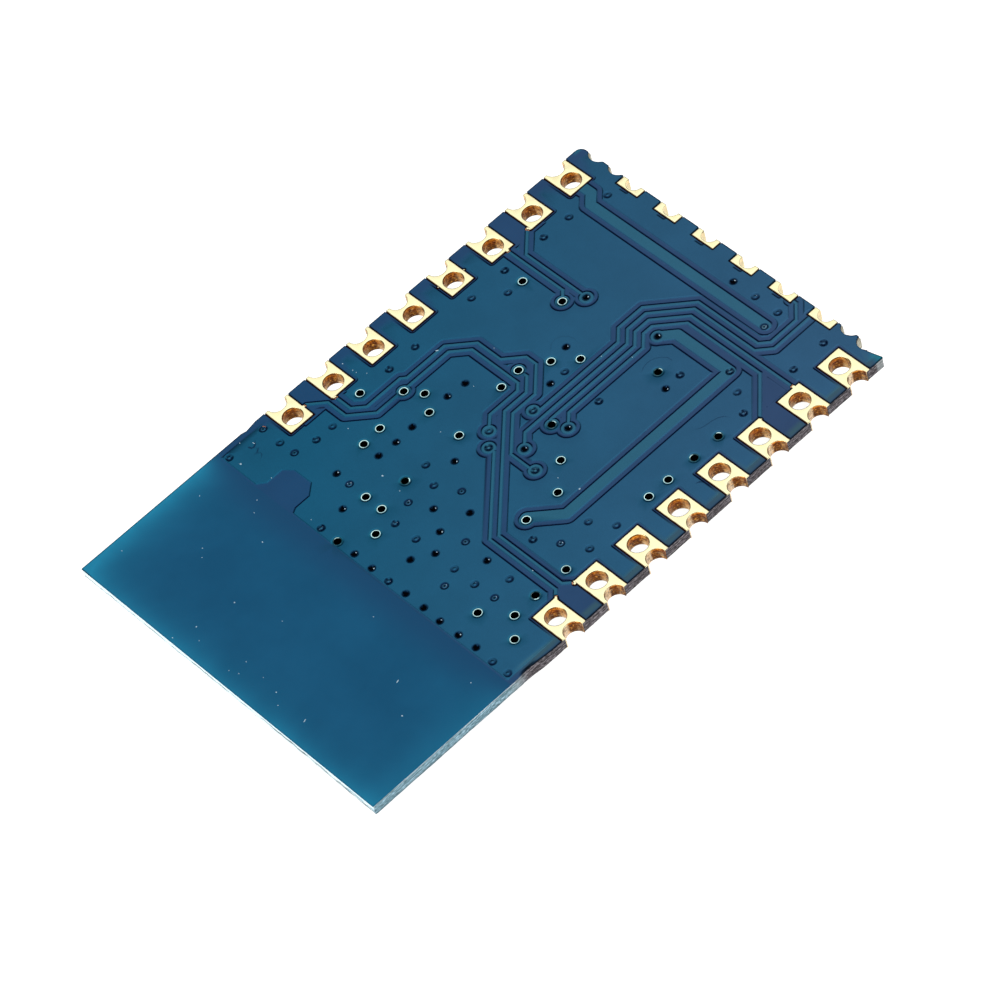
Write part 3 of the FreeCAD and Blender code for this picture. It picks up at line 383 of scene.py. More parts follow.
class Plan:
    """Points and constraint edges gathered for one triangulation."""

    def __init__(self):
        self.p, self.e, self.n = [], [], 0

    def add(self, pts, closed=True):
        m = len(pts)
        self.p.append(np.asarray(pts, float))
        idx = np.arange(m) + self.n
        if m > 1:
            self.e += list(zip(idx[:-1].tolist(), idx[1:].tolist()))
            if closed:
                self.e.append((int(idx[-1]), int(idx[0])))
        self.n += m

    def scatter(self, pts):
        self.p.append(np.asarray(pts, float))
        self.n += len(pts)

    def triangulate(self, eps=2e-5):
        pts = np.vstack(self.p)
        res = delaunay_2d_cdt([Vector((float(a), float(b))) for a, b in pts], self.e, [], 0, eps, False)
        v = np.array([(q[0], q[1]) for q in res[0]], float)
        f = np.array([t for t in res[2] if len(t) == 3], int)
        a, b, c = v[f[:, 0]], v[f[:, 1]], v[f[:, 2]]
        area = (b[:, 0] - a[:, 0]) * (c[:, 1] - a[:, 1]) - (b[:, 1] - a[:, 1]) * (c[:, 0] - a[:, 0])
        f[area < 0] = f[area < 0][:, ::-1]
        f = f[np.abs(area) > 1e-10]
        return v, f


def boundary_loops(f):
    """Directed edges that belong to one triangle only, as (start, end)."""
    e = np.vstack([f[:, [0, 1]], f[:, [1, 2]], f[:, [2, 0]]])
    n = int(f.max()) + 1
    key, rev = e[:, 0] * n + e[:, 1], e[:, 1] * n + e[:, 0]
    return e[~np.isin(key, rev)]


# ---------------------------------------------------------------------------
# meshes
# ---------------------------------------------------------------------------
def make(name, verts, faces, material, replaces=(), attrs=None, normals=None, smooth_faces=True, sharp=None, body="root"):
    """verts in mm, board axes."""
    mesh = bpy.data.meshes.new(name)
    verts = np.asarray(verts, float)
    mesh.from_pydata((verts * MM).tolist(), [], [tuple(int(i) for i in f) for f in faces])
    mesh.validate(verbose=False)
    mesh.polygons.foreach_set("use_smooth", [smooth_faces] * len(mesh.polygons))
    for key, values in (attrs or {}).items():
        a = mesh.attributes.new(key, "FLOAT", "POINT")
        a.data.foreach_set("value", np.asarray(values, np.float32))
    if normals is not None:
        mesh.normals_split_custom_set_from_vertices([tuple(n) for n in normals])
    elif sharp is not None:
        mesh.set_sharp_from_angle(angle=math.radians(sharp))
    mesh.update()
    obj = bpy.data.objects.new(name, mesh)
    bpy.context.scene.collection.objects.link(obj)
    mesh.materials.append(material)
    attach(obj, body)
    if replaces:
        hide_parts(*replaces)
    return obj


class Build:
    """Collects verts (mm), faces and one value per vertex of each attribute."""

    def __init__(self, *keys):
        self.v, self.f, self.n, self.keys = [], [], 0, keys
        self.a = {k: [] for k in keys}

    def add(self, v, f, **attrs):
        v = np.asarray(v, float).reshape(-1, 3)
        self.v.append(v)
        self.f += [tuple(int(i) + self.n for i in t) for t in f]
        for k in self.keys:
            val = attrs.get(k, 0.0)
            self.a[k].append(np.broadcast_to(np.asarray(val, float), (len(v),)).copy())
        self.n += len(v)

    def verts(self):
        return np.vstack(self.v)

    def attrs(self):
        return {k: np.concatenate(a) for k, a in self.a.items()}


# ---------------------------------------------------------------------------
# materials
# ---------------------------------------------------------------------------
def new_material(name):
    m = bpy.data.materials.new(name)
    m.use_nodes = True
    nt = m.node_tree
    nt.nodes.clear()
    out = nt.nodes.new("ShaderNodeOutputMaterial")
    bsdf = nt.nodes.new("ShaderNodeBsdfPrincipled")
    nt.links.new(bsdf.outputs["BSDF"], out.inputs["Surface"])
    return m, nt, bsdf


def node(nt, kind, **props):
    n = nt.nodes.new(kind)
    for k, v in props.items():
        if k.startswith("in_"):
            n.inputs[k[3:].replace("_", " ")].default_value = v
        else:
            setattr(n, k, v)
    return n


def coords(nt, scale=(1, 1, 1)):
    tc = nt.nodes.new("ShaderNodeTexCoord")
    mp = nt.nodes.new("ShaderNodeMapping")
    mp.inputs["Scale"].default_value = scale
    nt.links.new(tc.outputs["Object"], mp.inputs["Vector"])
    return mp.outputs["Vector"]


def noise(nt, vec, scale, detail=3.0, rough=0.5):
    n = nt.nodes.new("ShaderNodeTexNoise")
    n.inputs["Scale"].default_value = scale
    n.inputs["Detail"].default_value = detail
    n.inputs["Roughness"].default_value = rough
    nt.links.new(vec, n.inputs["Vector"])
    return n.outputs["Fac"]


def ramp(nt, fac, stops):
    n = nt.nodes.new("ShaderNodeValToRGB")
    els = n.color_ramp.elements
    while len(els) < len(stops):
        els.new(0.5)
    for e, (pos, col) in zip(els, stops):
        e.position = pos
        e.color = (*col, 1) if len(col) == 3 else col
    nt.links.new(fac, n.inputs["Fac"])
    return n.outputs["Color"]


def mapr(nt, fac, a, b, c, d, kind="LINEAR"):
    n = nt.nodes.new("ShaderNodeMapRange")
    n.interpolation_type = kind
    for k, v in zip(("From Min", "From Max", "To Min", "To Max"), (a, b, c, d)):
        n.inputs[k].default_value = v
    nt.links.new(fac, n.inputs["Value"])
    return n.outputs["Result"]


def mix(nt, fac, a, b, blend="MIX"):
    """a, b: sockets or colours."""
    n = nt.nodes.new("ShaderNodeMix")
    n.data_type = "RGBA"
    n.blend_type = blend
    if isinstance(fac, (int, float)):
        n.inputs[0].default_value = fac
    else:
        nt.links.new(fac, n.inputs[0])
    for sock, val in ((n.inputs[6], a), (n.inputs[7], b)):
        if isinstance(val, tuple):
            sock.default_value = (*val, 1) if len(val) == 3 else val
        else:
            nt.links.new(val, sock)
    return n.outputs[2]


def attr(nt, name):
    n = nt.nodes.new("ShaderNodeAttribute")
    n.attribute_name = name
    return n.outputs["Fac"]


def math_node(nt, op, a, b=None):
    n = nt.nodes.new("ShaderNodeMath")
    n.operation = op
    for sock, val in zip(n.inputs, (a, b)):
        if val is None:
            continue
        if isinstance(val, (int, float)):
            sock.default_value = val
        else:
            nt.links.new(val, sock)
    return n.outputs[0]


def bump(nt, bsdf, height, distance, strength=1.0):
    b = nt.nodes.new("ShaderNodeBump")
    b.inputs["Strength"].default_value = strength
    b.inputs["Distance"].default_value = distance
    nt.links.new(height, b.inputs["Height"])
    nt.links.new(b.outputs["Normal"], bsdf.inputs["Normal"])
    return b


def plain(name, dark, light, scale, rough=(0.4, 0.6), metallic=0.0, bump_mm=0.003, stretch=(1, 1, 1), coat=0.0):
    """A material whose colour, gloss and surface wander a little, as real ones do."""
    m, nt, bsdf = new_material(name)
    vec = coords(nt, stretch)
    n1 = noise(nt, vec, scale, 4.0, 0.6)
    n2 = noise(nt, vec, scale * 5.3, 3.0, 0.6)
    nt.links.new(mix(nt, mapr(nt, n1, 0.3, 0.7, 0.0, 1.0), dark, light), bsdf.inputs["Base Color"])
    nt.links.new(mapr(nt, n2, 0.3, 0.7, rough[0], rough[1]), bsdf.inputs["Roughness"])
    bsdf.inputs["Metallic"].default_value = metallic
    bsdf.inputs["Coat Weight"].default_value = coat
    bump(nt, bsdf, n2, bump_mm * MM)
    return m


def scaled(colour, k):
    return tuple(c * k for c in colour)


def film_material(name):
    """Blue film: darker and clearer over copper, with a painted glow where light comes through at the sawn rim of the
    antenna part.
    """
    m, nt, bsdf = new_material(name)
    vec = coords(nt)
    cu, glow, dark, painted_shade_and_hairlines, strip, dust_and_glint, painted_via_shadow = (attr(nt, k) for k in ("cu", "glow", "dark", "painted_shade_and_hairlines", "strip", "dust_and_glint", "painted_via_shadow"))
    sep = nt.nodes.new("ShaderNodeSeparateXYZ")
    nt.links.new(vec, sep.inputs[0])
    X, Y = math_node(nt, "MULTIPLY", sep.outputs[0], 1000.0), math_node(nt, "MULTIPLY", sep.outputs[1], 1000.0)
    diag = mapr(nt, math_node(nt, "ADD", X, Y), -9.0, 18.0, 0.0, 1.0)
    broad = mapr(nt, noise(nt, vec, 360.0, 4.0, 0.6), 0.36, 0.64, 0.0, 1.0)
    fine = noise(nt, vec, 9000.0, 3.0, 0.6)

    def tint(low, high, amount):
        a = mix(nt, diag, scaled(low, 1 - amount), scaled(high, 1 - amount))
        b = mix(nt, diag, scaled(low, 1 + amount), scaled(high, 1 + amount))
        return mix(nt, broad, a, b)

    over_copper = tint((0.0066, 0.0830, 0.158), (0.0262, 0.0870, 0.170), 0.05)
    over_bare = tint((0.0115, 0.0690, 0.172), (0.0340, 0.0750, 0.172), 0.05)
    col = mix(nt, cu, over_bare, over_copper)
    # the antenna part: purplish next to the pour, bluer further out
    tail_far = mix(nt, broad, (0.0048, 0.0875, 0.190), (0.0066, 0.1020, 0.216))
    tail = mix(nt, mapr(nt, Y, -7.6, -6.0, 0.0, 1.0, "SMOOTHSTEP"), tail_far, (0.0084, 0.0725, 0.171))
    col = mix(nt, mapr(nt, Y, -5.97, -5.90, 1.0, 0.0), col, tail)
    in_tail = mapr(nt, Y, -7.0, -5.6, 1.0, 0.0, "SMOOTHSTEP")

    def rim(distance, reach, amount):
        e = math_node(nt, "EXPONENT", math_node(nt, "MULTIPLY", distance, -1.0 / reach))
        return math_node(nt, "MULTIPLY", e, amount)

    # painted glow: the film is lightened towards the left, near and right edges of the antenna part, as if lit through
    # the sawn rim
    left = rim(math_node(nt, "ADD", X, 7.70), 0.56, 0.80)
    near = rim(math_node(nt, "ADD", Y, 12.33), 0.42, 0.52)
    right = rim(math_node(nt, "SUBTRACT", 7.70, X), 0.80, 0.24)
    lit = math_node(nt, "ADD", math_node(nt, "ADD", left, near), right)
    wander = mapr(nt, noise(nt, vec, 700.0, 2.0, 0.5), 0.3, 0.7, 0.82, 1.18)
    lit = math_node(nt, "MINIMUM", math_node(nt, "MULTIPLY", math_node(nt, "MULTIPLY", lit, wander), in_tail), 1.0)
    col = mix(nt, lit, col, (0.0150, 0.250, 0.425))
    # painted glow: teal halo round the open vias and at the two far corners, and a faint lift over the tracks
    col = mix(nt, glow, col, (0.012, 0.230, 0.300))
    col = mix(nt, strip, col, (0.050, 0.128, 0.142))
    # painted shadow: dark teal crescent beside each open via
    col = mix(nt, painted_via_shadow, col, (0.0012, 0.0400, 0.0860))
    # navy: painted shade on the lee flanks of copper edges and round the vias, and the film's real hairlines
    col = mix(nt, painted_shade_and_hairlines, col, (0.0008, 0.0085, 0.0430))
    # near black: painted shade in the pinholes, the half-via centres and the dent in the right edge, and dark lines
    # along the film's edges
    col = mix(nt, dark, col, (0.0015, 0.0015, 0.003))
    # pale dust specks, and painted glints and highlights on the vias
    col = mix(nt, dust_and_glint, col, (0.52, 0.70, 0.80))
    nt.links.new(col, bsdf.inputs["Base Color"])
    metal = math_node(nt, "MULTIPLY", cu, mapr(nt, dark, 0.0, 0.5, 0.86, 0.0))
    metal = math_node(nt, "MULTIPLY", metal, mapr(nt, dust_and_glint, 0.0, 0.5, 1.0, 0.0))
    metal = math_node(nt, "MULTIPLY", metal, mapr(nt, painted_shade_and_hairlines, 0.0, 1.0, 1.0, 0.62))
    nt.links.new(metal, bsdf.inputs["Metallic"])
    nt.links.new(mapr(nt, fine, 0.3, 0.7, 0.20, 0.26), bsdf.inputs["Roughness"])
    nt.links.new(mapr(nt, dark, 0.0, 0.5, 0.05, 0.0), bsdf.inputs["Specular IOR Level"])
    nt.links.new(mapr(nt, dark, 0.0, 0.5, 0.04, 0.0), bsdf.inputs["Coat Weight"])
    bsdf.inputs["Coat Roughness"].default_value = 0.15
    bsdf.inputs["IOR"].default_value = 1.42
    bump(nt, bsdf, fine, 0.0006 * MM)
    return m


FILM = film_material("solder_mask_film")


def laminate_material():
    m, nt, bsdf = new_material("laminate")
    tc = nt.nodes.new("ShaderNodeTexCoord")
    sep = nt.nodes.new("ShaderNodeSeparateXYZ")
    nt.links.new(tc.outputs["Object"], sep.inputs[0])
    along = math_node(nt, "ADD", sep.outputs[0], sep.outputs[1])
    com = nt.nodes.new("ShaderNodeCombineXYZ")
    nt.links.new(math_node(nt, "MULTIPLY", along, 900.0), com.inputs[0])
    nt.links.new(math_node(nt, "MULTIPLY", sep.outputs[2], 16000.0), com.inputs[1])
    streak = noise(nt, com.outputs[0], 1.0, 4.0, 0.65)
    com2 = nt.nodes.new("ShaderNodeCombineXYZ")
    nt.links.new(math_node(nt, "MULTIPLY", along, 5200.0), com2.inputs[0])
    nt.links.new(math_node(nt, "MULTIPLY", sep.outputs[2], 9000.0), com2.inputs[1])
    chips = noise(nt, com2.outputs[0], 1.0, 3.0, 0.6)
    pale = ramp(nt, streak, [(0.30, (0.30, 0.42, 0.42)), (0.46, (0.62, 0.74, 0.74)), (0.60, (0.92, 0.96, 0.95))])
    com3 = nt.nodes.new("ShaderNodeCombineXYZ")
    nt.links.new(math_node(nt, "MULTIPLY", along, 7000.0), com3.inputs[0])
    nt.links.new(math_node(nt, "MULTIPLY", sep.outputs[2], 21000.0), com3.inputs[1])
    threads = noise(nt, com3.outputs[0], 1.0, 2.0, 0.5)
    weave = math_node(nt, "ADD", math_node(nt, "MULTIPLY", streak, 0.50), math_node(nt, "MULTIPLY", threads, 0.50))
    grey = ramp(nt, weave, [(0.41, (0.016, 0.012, 0.014)), (0.50, (0.075, 0.062, 0.068)), (0.59, (0.30, 0.27, 0.29))])
    grime = ramp(nt, weave, [(0.37, (0.024, 0.066, 0.085)), (0.48, (0.115, 0.265, 0.330)), (0.60, (0.46, 0.72, 0.86))])
    sand = ramp(nt, chips, [(0.30, (0.28, 0.25, 0.17)), (0.50, (0.60, 0.56, 0.42)), (0.66, (0.86, 0.84, 0.70))])
    col = mix(nt, attr(nt, "pale"), grey, pale)
    col = mix(nt, attr(nt, "grime"), col, grime)
    col = mix(nt, attr(nt, "sand"), col, sand)
    # the end wall whitish, which also gets a painted glow below
    col = mix(nt, attr(nt, "snow"), col, (0.66, 0.80, 0.83))
    col = mix(nt, math_node(nt, "MULTIPLY", attr(nt, "line"), mapr(nt, chips, 0.36, 0.52, 0.72, 1.0)), col, (0.050, 0.060, 0.056))
    # near-black brown on the flat faces and hole walls: the laminate's darker tone over copper, with painted shade in
    # the narrow gaps round the lands
    col = mix(nt, attr(nt, "floor"), col, (0.022, 0.0040, 0.0034))
    nt.links.new(col, bsdf.inputs["Base Color"])
    nt.links.new(mapr(nt, chips, 0.3, 0.7, 0.55, 0.85), bsdf.inputs["Roughness"])
    nt.links.new(mapr(nt, attr(nt, "floor"), 0.0, 1.0, 0.3, 0.0), bsdf.inputs["Specular IOR Level"])
    # painted glow: the whitish end wall gives off a little light of its own
    glow = math_node(nt, "MULTIPLY", math_node(nt, "MULTIPLY", attr(nt, "snow"), 0.14), mapr(nt, attr(nt, "line"), 0.0, 0.5, 1.0, 0.0))
    nt.links.new(glow, bsdf.inputs["Emission Strength"])
    bsdf.inputs["Emission Color"].default_value = (0.88, 1.0, 1.0, 1)
    bump(nt, bsdf, streak, 0.02 * MM, 0.7)
    return m


LAMINATE = laminate_material()


def gold_material():
    """Pale gold on the faces; in the holes copper-brown at the top, ribbed by the drill, paler at the far end, with
    painted shade part way down and painted light and shade by the wall's bearing.
    """
    m, nt, bsdf = new_material("gold_land")
    vec = coords(nt)
    pit, depth, rim = attr(nt, "pit"), attr(nt, "depth"), attr(nt, "rim")
    n1 = noise(nt, vec, 3500.0, 4.0, 0.6)
    n2 = noise(nt, vec, 11000.0, 3.0, 0.6)
    n3 = noise(nt, vec, 5200.0, 3.0, 0.6)
    top = mix(nt, mapr(nt, n1, 0.3, 0.7, 0.0, 1.0), (0.98, 0.885, 0.50), (1.0, 0.935, 0.60))
    along = math_node(nt, "ADD", depth, mapr(nt, n3, 0.3, 0.7, -0.16, 0.16))
    # copper-brown near the top, darkest part way down: the copper's own colour with painted shade deep in the hole
    copper_brown_with_shade = ramp(nt, along, [(0.00, (0.86, 0.34, 0.022)), (0.07, (0.78, 0.25, 0.012)), (0.16, (0.50, 0.142, 0.0050)), (0.30, (0.265, 0.062, 0.0018)),
                               (0.44, (0.130, 0.029, 0.0012)), (0.58, (0.178, 0.056, 0.0070)), (0.78, (0.120, 0.038, 0.0045)), (1.0, (0.105, 0.036, 0.0060))])
    # painted light: the lighter wall colours, used by bearing
    painted_lit_wall = ramp(nt, along, [(0.00, (0.97, 0.80, 0.40)), (0.08, (0.95, 0.65, 0.20)), (0.20, (0.76, 0.36, 0.065)), (0.36, (0.60, 0.26, 0.055)),
                               (0.60, (0.72, 0.41, 0.145)), (0.82, (0.86, 0.55, 0.26)), (1.0, (0.94, 0.69, 0.41))])
    tan = ramp(nt, along, [(0.00, (0.97, 0.92, 0.66)), (0.12, (0.92, 0.74, 0.44)), (0.45, (0.64, 0.44, 0.245)), (1.0, (0.75, 0.555, 0.375))])
    patchy = mapr(nt, n3, 0.3, 0.7, -0.22, 0.22)
    clean = math_node(nt, "MAXIMUM", math_node(nt, "ADD", attr(nt, "clean"), patchy), 0.0)
    clean = mapr(nt, clean, 0.10, 1.0, 0.0, 1.0)
    hole = mix(nt, clean, copper_brown_with_shade, painted_lit_wall)
    # paler tan where cream is set: painted light by bearing in the right half holes, and a little everywhere in the end
    # pads' holes
    hole = mix(nt, mapr(nt, math_node(nt, "ADD", attr(nt, "cream"), patchy), 0.10, 0.90, 0.0, 1.0), hole, tan)
    flecks = mapr(nt, n2, 0.57, 0.68, 0.0, 1.0)
    hole = mix(nt, math_node(nt, "MULTIPLY", flecks, 0.62), hole, (0.86, 0.40, 0.075))
    pits = mapr(nt, n2, 0.36, 0.50, 1.0, 0.0)
    hole = mix(nt, math_node(nt, "MULTIPLY", pits, 0.72), hole, (0.046, 0.0140, 0.0026))
    long_vec = coords(nt, (1.0, 1.0, 0.22))
    n4 = noise(nt, long_vec, 10500.0, 3.0, 0.6)
    run = math_node(nt, "MULTIPLY", mapr(nt, n4, 0.50, 0.64, 0.0, 1.0), mapr(nt, attr(nt, "cream"), 0.2, 0.9, 0.0, 0.75))
    hole = mix(nt, run, hole, (0.92, 0.80, 0.60))
    col = mix(nt, pit, top, hole)
    # painted shade: a dark outline on the lands' edges
    col = mix(nt, rim, col, (0.045, 0.0075, 0.0020))
    nt.links.new(col, bsdf.inputs["Base Color"])
    nt.links.new(mapr(nt, rim, 0.0, 0.8, 1.0, 0.0), bsdf.inputs["Metallic"])
    nt.links.new(mapr(nt, rim, 0.0, 0.8, 0.5, 0.0), bsdf.inputs["Specular IOR Level"])
    nt.links.new(math_node(nt, "ADD", mapr(nt, n1, 0.3, 0.7, 0.19, 0.27), math_node(nt, "MULTIPLY", pit, 0.16)), bsdf.inputs["Roughness"])
    h = math_node(nt, "ADD", math_node(nt, "MULTIPLY", n1, 0.12), math_node(nt, "MULTIPLY", math_node(nt, "MULTIPLY", n2, pit), 1.6))
    bump(nt, bsdf, h, 0.008 * MM, 0.8)
    return m


GOLD = gold_material()
COPPER = plain("copper_foil", (0.50, 0.22, 0.12), (0.68, 0.34, 0.20), 1500.0, (0.30, 0.45), 1.0, 0.002)
RING = plain("via_ring_metal", (0.70, 0.78, 0.70), (0.93, 0.95, 0.86), 5000.0, (0.25, 0.40), 1.0, 0.002)
BARREL_DARK = plain("via_barrel", (0.010, 0.010, 0.008), (0.030, 0.026, 0.018), 9000.0, (0.5, 0.7), 0.3, 0.004)
CAN = plain("can_sheet", (0.89, 0.89, 0.87), (0.96, 0.96, 0.94), 260.0, (0.26, 0.38), 1.0, 0.0007, (1, 6, 1))
SOLDER = plain("solder", (0.62, 0.63, 0.64), (0.80, 0.81, 0.82), 2400.0, (0.16, 0.30), 1.0, 0.004)
MOULD = plain("moulding", (0.018, 0.018, 0.020), (0.036, 0.036, 0.038), 5200.0, (0.55, 0.75), 0.0, 0.004)
TIN = plain("tinned_lead", (0.62, 0.62, 0.60), (0.76, 0.76, 0.74), 2600.0, (0.30, 0.45), 1.0, 0.002)
XTAL = plain("crystal_ceramic", (0.16, 0.13, 0.10), (0.24, 0.20, 0.16), 2600.0, (0.5, 0.7), 0.0, 0.002)
LID = plain("crystal_lid_metal", (0.66, 0.65, 0.60), (0.78, 0.76, 0.70), 900.0, (0.25, 0.36), 1.0, 0.001)
FERRITE = plain("ferrite", (0.05, 0.05, 0.05), (0.10, 0.095, 0.09), 3000.0, (0.5, 0.7), 0.0, 0.003)
CAPACITOR = plain("capacitor_ceramic", (0.34, 0.22, 0.12), (0.46, 0.31, 0.18), 3400.0, (0.35, 0.5), 0.0, 0.002)
RESISTOR = plain("resistor_film", (0.012, 0.012, 0.014), (0.03, 0.03, 0.034), 3400.0, (0.3, 0.45), 0.0, 0.002)
LED_BODY = plain("led_body", (0.70, 0.70, 0.64), (0.82, 0.82, 0.78), 2200.0, (0.35, 0.5), 0.0, 0.002)


def lens_material():
    m, nt, bsdf = new_material("led_resin")
    vec = coords(nt)
    n = noise(nt, vec, 1800.0, 3.0, 0.5)
    nt.links.new(mix(nt, mapr(nt, n, 0.3, 0.7, 0.0, 1.0), (0.75, 0.82, 0.78), (0.92, 0.94, 0.90)), bsdf.inputs["Base Color"])
    nt.links.new(mapr(nt, n, 0.3, 0.7, 0.05, 0.12), bsdf.inputs["Roughness"])
    bsdf.inputs["Transmission Weight"].default_value = 0.8
    bsdf.inputs["IOR"].default_value = 1.5
    return m


LENS = lens_material()

# ---------------------------------------------------------------------------
# camera: fitted to the pads and vias of the photo
# ---------------------------------------------------------------------------
cam_data = bpy.data.cameras.new("camera")
cam = bpy.data.objects.new("camera", cam_data)
bpy.context.scene.collection.objects.link(cam)
R = [(0.6684479700293118, 0.718955820486289, -0.19047267403115656), (0.5010459550268344, -0.6245572090402873, -0.5990669775467967),
     (-0.5496637720597382, 0.3050095421862959, -0.7777139042478065)]
cam_data.sensor_width = 36.0
cam_data.sensor_fit = "HORIZONTAL"
cam_data.lens = 5080.96446390555 / 1000.0 * 36.0
cam_data.clip_start = 0.01
cam_data.clip_end = 10.0
X, Y, Z = Vector(R[0]), -Vector(R[1]), -Vector(R[2])
cam.matrix_world = Matrix(((X.x, Y.x, Z.x, 99.817 * MM), (X.y, Y.y, Z.y, (-55.098 + SHIFT) * MM), (X.z, Y.z, Z.z, (138.725 + 2.90) * MM), (0, 0, 0, 1)))
bpy.context.scene.camera = cam


# ---------------------------------------------------------------------------
# the film on the pad side: one skin that rises over every track and the pour
# ---------------------------------------------------------------------------
GRID = 0.02


def grid_points(x0, y0, x1, y1, d):
    nx, ny = int(round((x1 - x0) / d)) + 1, int(round((y1 - y0) / d)) + 1
    xs, ys = x0 + d * np.arange(nx), y0 + d * np.arange(ny)
    gx, gy = np.meshgrid(xs, ys)
    return np.stack([gx.ravel(), gy.ravel()], 1), (ny, nx)


def tongue(p):
    """The pour fades out under the film towards the board's edge."""
    ax = np.abs(p[:, 0])
    side = np.where(p[:, 1] > -3.9, smooth(7.05, 7.62, ax), smooth(7.45, 7.75, ax))
    end = smooth(12.42, 12.50, p[:, 1])
    return 1 - np.maximum(side, end)


RING_W, PIN_W, TENT_W = 0.185, 0.20, 0.20


def nearest(p, pts, reach):
    """Distance to the nearest of pts, capped at reach, and the point's number."""
    d = np.full(len(p), reach)
    who = np.full(len(p), -1)
    for n, (x, y) in enumerate(pts):
        idx = np.nonzero((np.abs(p[:, 0] - x) < reach) & (np.abs(p[:, 1] - y) < reach))[0]
        if len(idx):
            r = np.hypot(p[idx, 0] - x, p[idx, 1] - y)
            hit = r < d[idx]
            d[idx[hit]] = r[hit]
            who[idx[hit]] = n
    return d, who


def _rand(n, k):
    """One number in 0..1 for each feature n and use k."""
    return float(_hash(np.array([n]), np.array([k]), np.array([7]), 13)[0])


def film_height(p):
    sig, pour = copper_field(p)
    t = tongue(p)
    hs, hp = 1 - smooth(-SLOPE, SLOPE, sig), (1 - smooth(-SLOPE, SLOPE, pour)) * t
    z = Z_GAP + RELIEF * np.maximum(hs, hp)
    cu = np.maximum(1 - smooth(-0.014, 0.040, sig), (1 - smooth(-0.014, 0.040, pour)) * np.where(p[:, 0] > 0, 1.0, smooth(0.0, 0.5, t)))
    faint = smooth(11.30, 11.85, p[:, 1]) * (1 - smooth(11.9, 12.0, np.abs(p[:, 0]) + 7.0))
    cu = np.maximum(cu, 0.60 * faint)
    r, _ = nearest(p, OPEN_VIAS, 0.40)
    z -= 0.012 * (1 - smooth(0.185, 0.27, r))
    r, who = nearest(p, TENTED, 0.40)
    deep = 0.6 + 0.4 * np.array([_rand(n, 1) for n in range(len(TENTED))] + [0.0])[who]
    z += deep * (-0.0270 * (1 - smooth(0.095, 0.195, r)) + 0.020 * (1 - smooth(0.0, 0.095, r)))
    r, _ = nearest(p, PIN_VIAS, 0.40)
    z += -0.014 * (1 - smooth(0.11, 0.19, r)) - 0.22 * (1 - smooth(0.070, 0.118, r))
    r, _ = nearest(p, HALF_VIAS, 0.40)
    z += -0.024 * (1 - smooth(0.10, 0.19, r)) + 0.016 * (1 - smooth(0.06, 0.10, r)) - 0.030 * (1 - smooth(0.02, 0.055, r))
    z += 0.0016 * noise3(np.c_[p * 2.1, np.zeros(len(p))], 5)
    return np.maximum(z, Z_CORE_TOP + 0.004), cu


